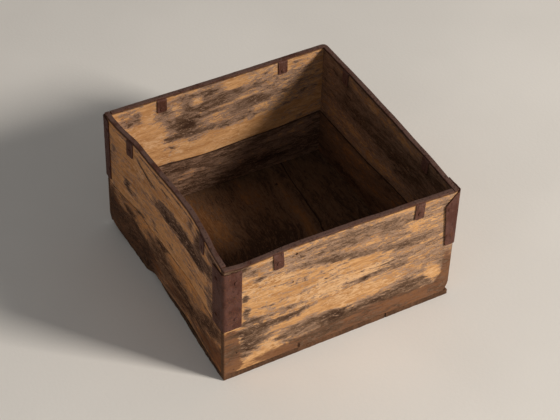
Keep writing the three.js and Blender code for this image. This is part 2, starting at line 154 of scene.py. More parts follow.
@dataclass(frozen=True)
class Wall:
    """One wall as seen from outside, s running from its left end to its right end, in millimetres."""

    name: str
    turn: float
    through: bool
    start: Corner
    end: Corner
    rim_sag: Points
    seam_wave: Points
    saddles: tuple[float, float]
    foot_wear: Points = ((-1, 0), (1, 0))
    bulge: Points = ((-1, 0), (1, 0))
    foot_share: float = 0.0

    def top(self, s: Array) -> Array:
        """Height of the upper board's top edge at s."""
        sag = [(-1, self.start.rim_drop), *self.rim_sag, (1, self.end.rim_drop)]
        return TOP - line_at(sag, s / OUTER)

    def seam(self, s: Array) -> Array:
        """Height of the joint between the two boards at s."""
        wave = [(-1, self.start.seam_lift), *self.seam_wave, (1, self.end.seam_lift)]
        return SEAM + line_at(wave, s / OUTER)

    def foot(self, s: Array) -> Array:
        """Height of the lower board's bottom edge at s."""
        return FOOT + line_at(self.foot_wear, s / OUTER)

    def bow(self, s: Array, z: Array) -> Array:
        """How far the wall stands inwards of its straight place."""
        return line_at(self.bulge, s / OUTER) * (self.foot_share + (1 - self.foot_share) * (z / RIM_TOP))

    def world(self, points: Array) -> Array:
        """Turns points of the wall's own frame into the measure's frame.

        Args:
            points: places along the wall, across it and up.

        Returns:
            Their places in the measure.
        """
        x, y, z = points.T
        cos, sin = round(math.cos(self.turn)), round(math.sin(self.turn))
        return np.stack([cos * x - sin * y, sin * x + cos * y, z], 1)

    def face(self, s: float, z: float, line: Shape | None = None) -> Matrix:
        """Frame on the outer face: x along the wall, y into the wood, z up the wall.

        Args:
            s: place along the wall.
            z: height.
            line: the line that x follows; level if there is none.

        Returns:
            The frame, in the wall's own frame and in millimetres.
        """
        ends, level = np.array([s - 1.0, s + 1.0]), np.array([z, z])
        rise = line(ends) if line else level
        bows = self.bow(ends, level)
        along = np.array([2.0, bows[1] - bows[0], rise[1] - rise[0]])
        along /= np.linalg.norm(along)
        lean = self.bow(np.array([s, s]), np.array([z - 1.0, z + 1.0]))
        inward = np.cross([0.0, lean[1] - lean[0], 2.0], along)
        inward /= np.linalg.norm(inward)
        up = np.cross(along, inward)
        place = [s, self.bow(np.array([s]), np.array([z]))[0] - OUTER, z]
        rows = np.stack([along, inward, up, place], 1)
        return Matrix([*rows.tolist(), [0, 0, 0, 1]])


FRONT = Wall(
    "front", 0.0, True, FRONT_LEFT, FRONT_RIGHT,
    ((-0.85, 7), (-0.4, 3.6), (0, 4.6), (0.5, 7.6)),
    ((-0.38, -3.3), (-0.12, -0.6), (0.4, 1.5)), (73, 58),
)
RIGHT = Wall(
    "right", math.pi / 2, False, FRONT_RIGHT, BACK_RIGHT,
    ((-0.5, 5), (0, 1.6), (0.4, 0)), ((-0.3, 4), (0.3, -1.5)), (66, 68),
)
BACK = Wall(
    "back", math.pi, True, BACK_RIGHT, BACK_LEFT,
    ((0, 0.6),), ((-0.4, -7), (0.13, -10), (0.56, -6)), (70.5, 79.5),
    foot_wear=((-1, 0), (0.94, 0), (1, 11)),
)
LEFT = Wall(
    "left", -math.pi / 2, False, BACK_LEFT, FRONT_LEFT,
    ((0, 0), (0.5, 1), (0.9, 2.4)), ((-0.4, 2), (0.3, -1)), (67.5, 64),
    foot_wear=((-1, 6), (-0.85, 1.5), (-0.6, 0.5), (-0.36, 0), (-0.28, 5), (0.2, 3), (0.75, 0), (1, 0)),
    bulge=((-0.9, 0), (-0.45, 6.9), (0.28, 10.4), (0.97, 0)), foot_share=0.45,
)
WALLS = (FRONT, RIGHT, BACK, LEFT)
PLANK_SEAM = ((-1, 70), (-0.35, 74), (0.05, 80), (0.2, 85.5), (0.6, 91), (1, 98))
PLANK_LOSS = ((-1, 0), (-0.75, 1), (-0.1, 6), (0.26, 9), (0.38, 4), (0.9, 4), (1, 6))


class Bench:
    """Makes and shapes meshes with Blender's own operators. Its lengths are in millimetres."""

    @staticmethod
    def only(piece: Obj) -> None:
        """Selects one piece alone and makes it active.

        Args:
            piece: the piece.
        """
        bpy.ops.object.select_all(action="DESELECT")
        piece.select_set(True)
        bpy.context.view_layer.objects.active = piece

    @staticmethod
    def apply(piece: Obj) -> None:
        """Puts the piece's place, turn and scale into its mesh."""
        Bench.only(piece)
        bpy.ops.object.transform_apply(location=True, rotation=True, scale=True)

    @staticmethod
    def slab(
        name: str, low: tuple[float, float, float], high: tuple[float, float, float],
        steps: tuple[int, int], edge: float, trim: tuple[Array, Array] | None = None,
    ) -> Obj:
        """A flat piece with eased edges, its long way in x and its thickness in z.

        Args:
            name: the piece's name.
            low: its lowest corner.
            high: its highest corner.
            steps: how many parts it has in x and in y.
            edge: how far its edges are eased.
            trim: point and outward normal of a cut across one of its corners.

        Returns:
            The piece.
        """
        bpy.ops.object.select_all(action="DESELECT")
        middle = [(a + b) / 2 * MM for a, b in zip(low, high)]
        bpy.ops.mesh.primitive_grid_add(
            x_subdivisions=steps[0], y_subdivisions=steps[1], size=1,
            location=(middle[0], middle[1], high[2] * MM),
        )
        piece = bpy.context.object
        piece.name = piece.data.name = name
        piece.scale = ((high[0] - low[0]) * MM, (high[1] - low[1]) * MM, 1)
        Bench.apply(piece)
        bpy.ops.object.mode_set(mode="EDIT")
        bpy.ops.mesh.select_all(action="SELECT")
        if trim:
            point, normal = trim
            bpy.ops.mesh.bisect(plane_co=point * MM, plane_no=normal, clear_outer=True)
            bpy.ops.mesh.select_all(action="SELECT")
        down = (0, 0, (low[2] - high[2]) * MM)
        bpy.ops.mesh.extrude_region_move(TRANSFORM_OT_translate={"value": down})
        bpy.ops.mesh.select_all(action="SELECT")
        bpy.ops.mesh.normals_make_consistent(inside=False)
        bpy.ops.mesh.select_all(action="DESELECT")
        bpy.ops.mesh.edges_select_sharp(sharpness=math.radians(25))
        bpy.ops.mesh.bevel(offset=edge * MM, segments=3, affect="EDGES")
        bpy.ops.object.mode_set(mode="OBJECT")
        return piece

    @staticmethod
    def coordinates(piece: Obj) -> Array:
        """Reads the piece's points.

        Args:
            piece: the piece.

        Returns:
            Its points, in millimetres.
        """
        flat = np.empty(len(piece.data.vertices) * 3, np.float32)
        piece.data.vertices.foreach_get("co", flat)
        return flat.reshape(-1, 3).astype(float) / MM

    @staticmethod
    def reshape(piece: Obj, shape: Shape) -> None:
        """Moves the piece's points, keeping where they lay in the straight piece as its grain.

        Args:
            piece: the piece.
            shape: gives each point's new place.
        """
        points = Bench.coordinates(piece)
        grain = piece.data.attributes.new("grain", "FLOAT_VECTOR", "POINT")
        grain.data.foreach_set("vector", (points * MM).astype(np.float32).ravel())
        piece.data.vertices.foreach_set("co", (shape(points) * MM).astype(np.float32).ravel())
        piece.data.update()

    @staticmethod
    def weather(piece: Obj, depth: float, size: float, turn: float = 0.0, stretch: float = 6.0) -> None:
        """Makes a surface uneven along its grain.

        Args:
            piece: the piece.
            depth: height between hollows and rises.
            size: width of the rises across the grain.
            turn: angle of the grain about the upright.
            stretch: how much longer the rises are along the grain.
        """
        texture = bpy.data.textures.new("relief", "CLOUDS")
        texture.noise_scale = size * MM
        texture.noise_depth = 3
        guide = bpy.data.objects.new("guide", None)
        bpy.context.scene.collection.objects.link(guide)
        guide.rotation_euler.z = turn
        guide.scale = (stretch, 1, 1)
        Bench.only(piece)
        bpy.context.view_layer.update()
        relief = piece.modifiers.new("relief", "DISPLACE")
        relief.texture = texture
        relief.texture_coords = "OBJECT"
        relief.texture_coords_object = guide
        relief.strength = depth * MM
        bpy.ops.object.modifier_apply(modifier=relief.name)
        bpy.data.objects.remove(guide)
        bpy.data.textures.remove(texture)

    @staticmethod
    def smooth(piece: Obj, angle: float = 35.0) -> None:
        """Shades the piece smooth, apart from edges sharper than the angle."""
        Bench.only(piece)
        bpy.ops.object.shade_smooth_by_angle(angle=math.radians(angle))

    @staticmethod
    def pick(piece: Obj, test: Callable[[bpy.types.MeshPolygon], bool]) -> None:
        """Selects the faces that pass a test and leaves the piece in edit mode.

        Args:
            piece: the piece.
            test: tells which of its faces are wanted.
        """
        if bpy.context.mode == "EDIT_MESH":
            bpy.ops.object.mode_set(mode="OBJECT")
        Bench.only(piece)
        bpy.ops.object.mode_set(mode="EDIT")
        bpy.ops.mesh.select_mode(type="FACE")
        bpy.ops.mesh.select_all(action="DESELECT")
        bpy.ops.object.mode_set(mode="OBJECT")
        for polygon in piece.data.polygons:
            polygon.select = test(polygon)
        bpy.ops.object.mode_set(mode="EDIT")

    @staticmethod
    def copy(piece: Obj, name: str, place: Matrix) -> Obj:
        """A copy with its own mesh, its place put into the mesh.

        Args:
            piece: what is copied.
            name: the copy's name.
            place: where it goes, in millimetres.

        Returns:
            The copy.
        """
        twin = bpy.data.objects.new(name, piece.data.copy())
        twin.data.name = name
        bpy.context.scene.collection.objects.link(twin)
        inward = place.copy()
        inward.translation = inward.translation * MM
        twin.data.transform(inward)
        return twin


class Slot(Enum):
    """Names of the material slots."""

    BOARD = "weathered_wood"
    FLOOR = "floor_wood"
    RIM = "rim_iron"
    ANGLE = "angle_iron"
    NAIL = "nail_iron"


class Blend(Enum):
    """How two colours are mixed."""

    PLAIN = "MIX"
    TINT = "MULTIPLY"


class Value:
    """A number that varies over a surface. Its operators add Math nodes."""

    def __init__(self, graph: "Graph", socket: Socket) -> None:
        """Wraps a socket of the graph."""
        self.graph = graph
        self.socket = socket

    def math(self, operation: str, *others: "Value | float", first: float | None = None) -> "Value":
        """One Math node.

        Args:
            operation: the node's operation.
            others: its further inputs.
            first: a plain number that goes before this value.

        Returns:
            The node's result.
        """
        values = [self, *others] if first is None else [first, self]
        node = self.graph.node("ShaderNodeMath", {"operation": operation}, dict(enumerate(values)))
        return Value(self.graph, node.outputs[0])

    def __add__(self, other: "Value | float") -> "Value":
        """Sum."""
        return self.math("ADD", other)

    __radd__ = __add__

    def __sub__(self, other: "Value | float") -> "Value":
        """Difference."""
        return self.math("SUBTRACT", other)

    def __rsub__(self, other: float) -> "Value":
        """Difference from a number."""
        return self.math("SUBTRACT", first=other)

    def __mul__(self, other: "Value | float") -> "Value":
        """Product."""
        return self.math("MULTIPLY", other)

    __rmul__ = __mul__

    def larger(self, other: "Value | float") -> "Value":
        """The larger of two."""
        return self.math("MAXIMUM", other)

    def smaller(self, other: "Value | float") -> "Value":
        """The smaller of two."""
        return self.math("MINIMUM", other)

    def step(self, low: float, high: float) -> "Value":
        """Rises smoothly from 0 to 1, or falls where low is above high.

        Args:
            low: value at which the result is 0.
            high: value at which it is 1.

        Returns:
            The smooth step.
        """
        settings = {"interpolation_type": "SMOOTHSTEP"}
        ends = {"Value": self, "From Min": min(low, high), "From Max": max(low, high)}
        node = self.graph.node("ShaderNodeMapRange", settings, ends)
        rise = Value(self.graph, node.outputs[0])
        return rise if low < high else 1.0 - rise


class Graph:
    """A material under construction."""

    def __init__(self, name: str) -> None:
        """Starts a material with only its output and its shader.

        Args:
            name: the material's name.
        """
        self.material = bpy.data.materials.new(name)
        self.material.use_nodes = True
        self.tree = self.material.node_tree
        self.tree.nodes.clear()
        self.shader = self.node("ShaderNodeBsdfPrincipled")
        self.node("ShaderNodeOutputMaterial", {}, {"Surface": self.shader.outputs[0]})

    def node(self, kind: str, settings: dict | None = None, inputs: dict | None = None) -> bpy.types.Node:
        """Adds a node.

        Args:
            kind: the node's type.
            settings: its own settings, set first.
            inputs: values or links of its sockets, by name or number.

        Returns:
            The node.
        """
        node = self.tree.nodes.new(kind)
        for key, setting in (settings or {}).items():
            setattr(node, key, setting)
        for key, given in (inputs or {}).items():
            socket = given.socket if isinstance(given, Value) else given
            if isinstance(socket, Socket):
                self.tree.links.new(socket, node.inputs[key])
            elif isinstance(socket, tuple) and node.inputs[key].type == "RGBA":
                node.inputs[key].default_value = (*socket, 1.0)
            else:
                node.inputs[key].default_value = socket
        return node

    def mapped(self, vector: Socket, scale: Colour, offset: Colour = (0, 0, 0)) -> Socket:
        """The vector stretched and moved by a Mapping node."""
        inputs = {"Vector": vector, "Scale": scale, "Location": offset}
        return self.node("ShaderNodeMapping", {}, inputs).outputs[0]

    def noise(
        self, vector: Socket, scale: Colour, offset: float = 0.0,
        detail: float = 4.0, rough: float = 0.55, bend: float = 0.0,
    ) -> Value:
        """Cloudy noise about zero.

        Args:
            vector: where it is read, in metres.
            scale: its frequency each way, per metre.
            offset: picks one of many such noises.
            detail: number of octaves.
            rough: weight of the finer octaves.
            bend: how far the noise bends itself.

        Returns:
            The noise, from about -0.5 to 0.5.
        """
        moved = self.mapped(vector, scale, (offset * 3.7, offset * 5.3, offset * 1.9))
        inputs = {"Vector": moved, "Scale": 1.0, "Detail": detail, "Roughness": rough, "Distortion": bend}
        return Value(self, self.node("ShaderNodeTexNoise", {}, inputs).outputs[0]) - 0.5

    def mix(self, low: object, high: object, share: Value | float, blend: Blend = Blend.PLAIN) -> Socket:
        """Two colours mixed.

        Args:
            low: colour or socket where the share is 0.
            high: colour or socket where the share is 1.
            share: how much of the second.
            blend: the way of mixing.

        Returns:
            The mixed colour's socket.
        """
        settings = {"data_type": "RGBA", "blend_type": blend.value}
        return self.node("ShaderNodeMix", settings, {0: share, 6: low, 7: high}).outputs[2]

    def attribute(self, name: str) -> Socket:
        """A vector stored on the mesh."""
        return self.node("ShaderNodeAttribute", {"attribute_name": name}).outputs["Vector"]

    def parts(self, vector: Socket) -> tuple[Value, Value, Value]:
        """The three parts of a vector."""
        split = self.node("ShaderNodeSeparateXYZ", {}, {0: vector})
        return tuple(Value(self, out) for out in split.outputs)

    def oval(self, vector: Socket, oval: Oval) -> Value:
        """An oval spot, 1 in its middle and 0 well outside.

        Args:
            vector: flat place on the face, in metres.
            oval: middle, half extents, strength and tilt in degrees, in millimetres.

        Returns:
            The spot times its strength.
        """
        along, across, half_along, half_across, strength, *tilt = oval
        inputs = {
            "Vector": vector,
            "Location": (along * MM, across * MM, 0),
            "Rotation": (0, 0, math.radians(tilt[0] if tilt else 0)),
            "Scale": (half_along * MM / 0.6, half_across * MM / 0.6, 1),
        }
        place = self.node("ShaderNodeMapping", {"vector_type": "TEXTURE"}, inputs).outputs[0]
        spot = self.node("ShaderNodeTexGradient", {"gradient_type": "SPHERICAL"}, {"Vector": place})
        return Value(self, spot.outputs[1]) * strength

    def finish(self, colour: object, roughness: Value | float, height: Value, depth: float) -> Material:
        """Links what has been made to the shader.

        Args:
            colour: base colour.
            roughness: roughness.
            height: height of the surface, where 1 is a full depth.
            depth: that depth in metres.

        Returns:
            The finished material.
        """
        bump = self.node("ShaderNodeBump", {}, {"Height": height, "Distance": depth, "Strength": 0.8})
        for name, given in (("Base Color", colour), ("Roughness", roughness), ("Normal", bump.outputs[0])):
            socket = given.socket if isinstance(given, Value) else given
            self.tree.links.new(socket, self.shader.inputs[name])
        return self.material


@dataclass(frozen=True)
class Face:
    """What one face of a board shows.

    Dark and film are how much old finish and grey film there is all over. The tint multiplies the face's
    colour; on the inner faces of the right and back walls it is painted shadow. The edge amounts are how dark
    its lower and its upper edge are: grime, and on an upper board's upper edge painted shadow under the rim
    bar as well. Ovals are (along, across, half along, half across, strength, tilt). A negative strength bares
    the wood, and a negative stain bleaches it.
    """

    dark: float = 0.2
    film: float = 0.2
    # Multiplies the face's colour; on the inner faces of the right and back walls this is painted shadow.
    tint_and_painted_shade: Colour = (1, 1, 1)
    # How dark the lower and upper edge get: grime, and under the rim bar painted shadow as well.
    edge_dirt_and_shade: tuple[float, float] = (1.0, 1.0)
    darks: tuple[Oval, ...] = ()
    films: tuple[Oval, ...] = ()
    stains: tuple[Oval, ...] = ()
    holes: tuple[Oval, ...] = ()


def scattered(seed: int, low: float, high: float, dark: float, count: int = 12) -> Face:
    """A face that no photograph shows, with patches strewn over it.

    Args:
        seed: picks the layout.
        low: lower edge of the board.
        high: upper edge.
        dark: share of dark finish.
        count: number of patches.

    Returns:
        The face.
    """
    rng = Random(seed)
    darks = tuple(
        (rng.uniform(-150, 150), rng.uniform(low, high), rng.uniform(12, 55), rng.uniform(3, 11),
         rng.choice((0.9, 0.6, -0.6)), rng.uniform(-8, 8))
        for _ in range(count)
    )
    films = tuple(
        (rng.uniform(-150, 150), rng.uniform(low, high), rng.uniform(20, 60), rng.uniform(6, 16), 0.7, 0)
        for _ in range(count // 2)
    )
    holes = tuple((rng.uniform(-140, 140), rng.uniform(low + 8, high - 8), 1.6, 1.2, 1.0) for _ in range(3))
    return Face(dark * 0.4, 0.35, darks=darks, films=films, holes=holes)


@dataclass(frozen=True)
class WoodFinish:
    """Old pine whose dark finish has worn away in patches along the grain.

    Low and high are the board's edges, and wear is how much the patches' edges are torn. Middle is the depth
    at which the inner face's look gives way to the outer's, ends is where end grain begins, and the bands are
    how far the dark edge band reaches in from the lower and the upper edge, all four in metres. That band is
    grime, and along an upper board's upper edge also painted shadow under the rim bar.
    """

    name: str
    seed: int
    outer: Face
    inner: Face
    low: float
    high: float
    honey: Colour = (0.62, 0.335, 0.142)
    amber: Colour = (0.46, 0.225, 0.085)
    pale: Colour = (0.71, 0.445, 0.24)
    film: Colour = (0.245, 0.150, 0.098)
    dark: Colour = (0.120, 0.066, 0.037)
    deep: Colour = (0.054, 0.026, 0.014)
    haze: Colour = (0.375, 0.232, 0.150)
    end: Colour = (0.14, 0.068, 0.036)
    stain: Colour = (0.165, 0.072, 0.036)
    streak: Colour = (0.66, 0.60, 0.54)
    wear: float = 1.0
    middle: tuple[float, float] = (-0.0042, -0.0030)
    ends: tuple[float, float] = (0.1642, 0.1652)
    foot_band: float = 0.0016
    # Reach of the upper edge's dark band: grime, and on upper boards painted shadow under the rim bar.
    head_dirt_and_shade_band: float = 0.0022
    shine: float = 0.08
    relief: float = 0.0006

    def fields(self, graph: Graph, flat: Socket, outside: Value) -> dict[str, Value]:
        """Sums the ovals of both faces.

        Args:
            graph: the material.
            flat: flat place on the board.
            outside: 1 on the outer half of the board.

        Returns:
            The sums by name: darks, films, stains and holes.
        """
        sums: dict[str, Value] = {}
        for name, base in (("darks", "dark"), ("films", "film"), ("stains", ""), ("holes", "")):
            sides = []
            for face in (self.inner, self.outer):
                start = getattr(face, base) if base else 0.0
                total = outside * 0.0 + start
                for oval in getattr(face, name):
                    total = total + graph.oval(flat, oval)
                sides.append(total)
            sums[name] = sides[0] + (sides[1] - sides[0]) * outside
        return sums

    def make(self) -> Material:
        """Builds the material.

        Returns:
            The wood's material.
        """
        graph = Graph(self.name)
        grain = graph.attribute("grain")
        along, across, depth = graph.parts(grain)
        outside = depth.step(*self.middle)
        flat = graph.node("ShaderNodeCombineXYZ", {}, {0: along, 1: across}).outputs[0]
        layer = depth + outside * 0.9
        apart = graph.node("ShaderNodeCombineXYZ", {}, {0: along, 1: across, 2: layer}).outputs[0]
        seed = float(self.seed)
        broad = graph.noise(apart, (10, 52, 9), seed, 3, 0.5, 0.3)
        ragged = graph.noise(apart, (50, 175, 40), seed + 1, 5, 0.66, 0.8)
        speck = graph.noise(apart, (130, 310, 200), seed + 6, 5, 0.7, 0.6)
        fine = graph.noise(apart, (150, 1100, 300), seed + 2, 3, 0.6)
        fibre = graph.noise(apart, (60, 1300, 600), seed + 3, 4, 0.65)
        figure = graph.noise(apart, (10, 75, 30), seed + 4, 4, 0.6, 1.4)
        cloud = graph.noise(apart, (18, 34, 10), seed + 5, 3)
        sums = self.fields(graph, flat, outside)
        tear = broad * 1.0 + ragged * 2.8 + speck * 2.9 + fine * 0.8
        thin = sums["films"].smaller(1.0)
        coat = sums["darks"].smaller(0.95) * 1.1 + thin * 0.26 + tear * self.wear
        bared = (speck + fine * 0.6 - ragged * 0.4).step(0.08, 0.115)
        film = (coat + thin * 0.32).step(0.32, 0.40)
        dark = coat.step(0.58, 0.67) * (1.0 - bared * 0.8)
        deep = (coat + cloud * 0.8).step(0.95, 1.25)
        stain = (sums["stains"] + ragged * 0.9 + cloud * 0.5 + speck * 0.6).step(0.3, 0.6)
        hole = (sums["holes"] + fine * 0.3).step(0.35, 0.6)
        # Dark edge band: grime along the edges, and along an upper board's upper edge painted shadow under
        # the rim bar.
        foot, head = self.outer.edge_dirt_and_shade
        dirt_and_shade_band = (across - self.low * MM).step(self.foot_band, 0.0) * foot
        dirt_and_shade_band = dirt_and_shade_band.larger((across - self.high * MM).step(-self.head_dirt_and_shade_band, 0.0) * head)
        edge = (dirt_and_shade_band + ragged * 1.2 + speck * 0.8).step(0.45, 0.75)
        cut = along.math("ABSOLUTE").step(*self.ends)
        wood = graph.mix(self.honey, self.amber, (figure + speck * 0.6 + cloud * 0.4).step(-0.06, 0.12))
        bright = (fibre * 0.5 + cloud * 0.6 + speck * 0.9 - sums["stains"] * 0.1).step(0.03, 0.13)
        wood = graph.mix(wood, self.pale, bright * 0.75)
        warm = (fibre * 0.4 - broad * 0.7 + ragged * 0.9).step(0.04, 0.14)
        wood = graph.mix(wood, self.amber, warm * 0.75)
        grey = graph.mix(self.film, self.haze, (speck + fibre * 0.5 + ragged * 0.5).step(-0.05, 0.09))
        wood = graph.mix(wood, grey, film * 0.95)
        wood = graph.mix(wood, self.stain, stain * 0.88)
        old = graph.mix(self.dark, self.deep, deep)
        old = graph.mix(old, self.film, (speck + fibre * 0.6 - cloud * 0.5).step(0.03, 0.12) * 0.6)
        colour = graph.mix(wood, old, dark)
        end = graph.mix(self.end, self.dark, (ragged + cloud).step(-0.05, 0.08) * 0.5)
        colour = graph.mix(colour, end, cut * (0.92 + speck))
        # The edge band darkens the colour: grime, and painted shadow under the rim bar.
        colour = graph.mix(colour, self.deep, edge * 0.75)
        colour = graph.mix(colour, self.deep, hole)
        furrow = (fibre * 0.7 + speck * 0.9).step(-0.01, -0.12)
        streaks = graph.mix((1, 1, 1), self.streak, furrow * 0.7)
        colour = graph.mix(colour, streaks, 1.0, Blend.TINT)
        # Tint per face; on the inner faces of the right and back walls it is painted shadow.
        tint_and_painted_shade = graph.mix(self.inner.tint_and_painted_shade, self.outer.tint_and_painted_shade, outside)
        colour = graph.mix(colour, tint_and_painted_shade, 1.0, Blend.TINT)
        height = fibre * 0.8 + fine * 0.8 + ragged * 0.7 + speck * 0.8 + dark * 0.5 - hole * 2.5
        graph.shader.inputs["Specular IOR Level"].default_value = self.shine
        return graph.finish(colour, 0.82 - dark * 0.16 + fine * 0.2, height, self.relief)


@dataclass(frozen=True)
class FloorFinish(WoodFinish):
    """The same pine, darker with grain dust and with painted shadow."""

    # Colours darkened for grain dust and for painted shadow on the floor inside the measure.
    honey: Colour = (0.20, 0.092, 0.036)
    amber: Colour = (0.15, 0.066, 0.026)
    pale: Colour = (0.23, 0.115, 0.05)
    film: Colour = (0.11, 0.058, 0.032)
    haze: Colour = (0.14, 0.076, 0.042)
    dark: Colour = (0.055, 0.028, 0.016)
    deep: Colour = (0.034, 0.017, 0.011)
    wear: float = 0.6


@dataclass(frozen=True)
class IronFinish:
    """Wrought iron gone brown with rust, its upward faces greyer with wear where hands and a striking stick
    have passed and with painted sheen.
    """

    name: str
    seed: int
    brown: Colour = (0.078, 0.026, 0.016)
    purple: Colour = (0.098, 0.040, 0.029)
    rust: Colour = (0.170, 0.058, 0.026)
    # Grey of the upward faces: wear and painted sheen.
    grey: Colour = (0.118, 0.068, 0.052)
    black: Colour = (0.032, 0.015, 0.010)
    # How grey the upward faces turn: wear and painted sheen.
    rub_top: float = 0.0
    specks: float = 0.5
    metallic: float = 0.0
    shine: float = 0.15

    def make(self) -> Material:
        """Builds the material.

        Returns:
            The iron's material.
        """
        graph = Graph(self.name)
        place = graph.node("ShaderNodeTexCoord").outputs["Object"]
        seed = float(self.seed)
        broad = graph.noise(place, (45, 45, 45), seed, 3)
        blotch = graph.noise(place, (190, 190, 70), seed + 1, 4, 0.66)
        grit = graph.noise(place, (1100, 1100, 900), seed + 2, 4, 0.65)
        pits = graph.noise(place, (300, 300, 220), seed + 3, 3)
        up = graph.parts(graph.node("ShaderNodeNewGeometry").outputs["Normal"])[2]
        colour = graph.mix(self.brown, self.purple, (broad + blotch * 0.8).step(-0.06, 0.06))
        colour = graph.mix(colour, self.black, (blotch - broad * 0.5).step(0.04, 0.12) * 0.5)
        rusty = (blotch * 0.8 + grit * 0.8 + pits * 0.8).step(0.05, 0.15) * self.specks
        colour = graph.mix(colour, self.rust, rusty)
        # Upward faces turn grey: wear from hands and the striking stick, and painted sheen.
        sheen_and_rub = (up + broad * 1.4 + grit * 0.8).step(0.72, 1.0) * self.rub_top
        colour = graph.mix(colour, self.grey, sheen_and_rub)
        colour = graph.mix(colour, self.black, pits.step(0.08, 0.14) * 0.6)
        height = blotch * 2.4 + grit * 1.2 - pits.step(0.07, 0.13) * 0.8
        graph.shader.inputs["Metallic"].default_value = self.metallic
        graph.shader.inputs["Specular IOR Level"].default_value = self.shine
        return graph.finish(colour, 0.6 + grit * 0.35 - sheen_and_rub * 0.1, height, 0.0005)


FRONT_UPPER = Face(
    0.0, 0.14, edge_dirt_and_shade=(0.15, 1.0),
    darks=(
        (-30, 148, 42, 6, 0.5, -8), (30, 134, 40, 5, 0.5, -10), (-118, 158, 7, 3, 0.9),
        (-136, 134, 3.5, 6, 1.0), (-135, 107, 5, 9, 1.1), (-128, 86, 13, 8, 1.2, -12),
        (-101, 102, 7, 4, 0.6), (20, 166, 60, 6, 0.25), (68, 156, 16, 6, 0.3), (34, 87, 6, 4, 0.8),
        # The dark oval at (-155, 186) below the rim bar at the front-left corner is grime and painted shadow
        # under the bar.
        (90, 125, 12, 5, 0.35), (80, 88, 12, 6, 0.4), (-155, 186, 18, 7, 2.4), (-90, 90, 34, 3, 0.4),
        (125, 104, 30, 4, 0.25, 4), (110, 122, 30, 6, 0.2), (0, 178, 120, 2, 0.3), (150, 175, 12, 6, 0.2),
        (-20, 116, 12, 1.5, 0.3), (-60, 140, 20, 2, 0.3, -6),
    ),
    films=(
        (5, 168, 95, 15, 2.0), (60, 150, 60, 16, 1.8, -4), (-55, 172, 28, 7, 0.8),
        (50, 138, 60, 8, 1.4, -8), (118, 112, 50, 28, 2.0), (146, 160, 26, 30, 1.9),
        (-125, 176, 18, 9, 1.0), (-85, 90, 35, 7, 1.1), (40, 86, 40, 7, 1.1), (-45, 110, 50, 6, 0.4),
        (105, 148, 22, 16, -1.7, -20), (20, 100, 60, 7, -0.4), (-70, 176, 12, 6, -0.7),
        (120, 88, 36, 9, 0.9), (-20, 150, 40, 8, 0.9, -8), (60, 118, 40, 6, -0.5),
    ),
    stains=(
        (-40, 112, 22, 9, 0.35), (-150, 182, 14, 4, 0.5), (10, 96, 90, 12, -1.6), (-110, 140, 30, 20, -0.8),
    ),
    holes=((-67.5, 177, 1.9, 1.9, 1.2), (-71, 132, 1.3, 1.3, 1.0), (34, 87, 3.0, 2.4, 0.7)),
)
FRONT_LOWER = Face(
    0.05, 0.4, edge_dirt_and_shade=(0.2, 0.2),
    darks=(
        (-120, 73, 46, 6, 1.2), (-70, 77, 30, 3, 0.9, 3), (-128, 50, 20, 24, 0.9), (-87, 40, 11, 4, 1.0),
        (-50, 46, 36, 16, 0.42), (-12, 41, 15, 9, 1.2), (55, 40, 62, 12, 0.58), (112, 38, 30, 11, 0.4),
        (50, 15, 120, 12, 0.4), (-20, 20, 50, 12, 0.4), (150, 40, 14, 40, 0.4), (100, 66, 30, 8, 0.2),
        (-62, 60, 40, 7, -0.5), (-100, 38, 22, 10, -0.7, 12), (138, 53, 9, 12, -0.9, 20),
        (-120, 17, 40, 9, -0.9), (20, 26, 12, 2.5, -0.8), (72, 27, 22, 2, -0.7), (112, 27, 6, 2, -0.8),
        (16, 45, 12, 2, -0.6), (62, 45, 14, 2, -0.5), (30, 68, 60, 12, -0.7), (-156, 67, 12, 3, -1.2),
        (-158, 40, 9, 26, 0.5), (-155, 10, 10, 3, 0.6), (-60, 28, 6, 4, -0.4),
    ),
    films=(
        (125, 70, 50, 16, 1.8), (55, 76, 60, 4, 0.6), (-40, 60, 30, 4, 0.4), (30, 62, 60, 8, -0.9),
        (-105, 40, 20, 9, -0.7, 12), (-120, 17, 36, 8, -0.6), (138, 53, 9, 12, -1.6, 20),
        (-60, 64, 30, 5, -0.5), (-10, 45, 90, 16, 0.9),
    ),
    stains=(
        (-157, 42, 14, 34, 1.25), (158, 34, 10, 40, 1.3), (122, 14, 50, 10, 1.5), (-118, 18, 34, 9, 0.28),
        (-158, 44, 9, 30, 1.0), (40, 13, 120, 13, 1.8), (60, 32, 90, 8, 0.6), (-95, 76, 60, 4, 0.5),
        (40, 66, 70, 9, -1.4), (138, 53, 10, 12, -1.2), (-92, 44, 24, 10, -1.0),
    ),
    holes=(
        (-59, 12, 2.0, 5, 1.0, 0), (-148, 42, 1.2, 3, 0.7), (-152, 14, 3, 2, 0.6), (157, 24, 2, 5, 0.5, 20),
    ),
)
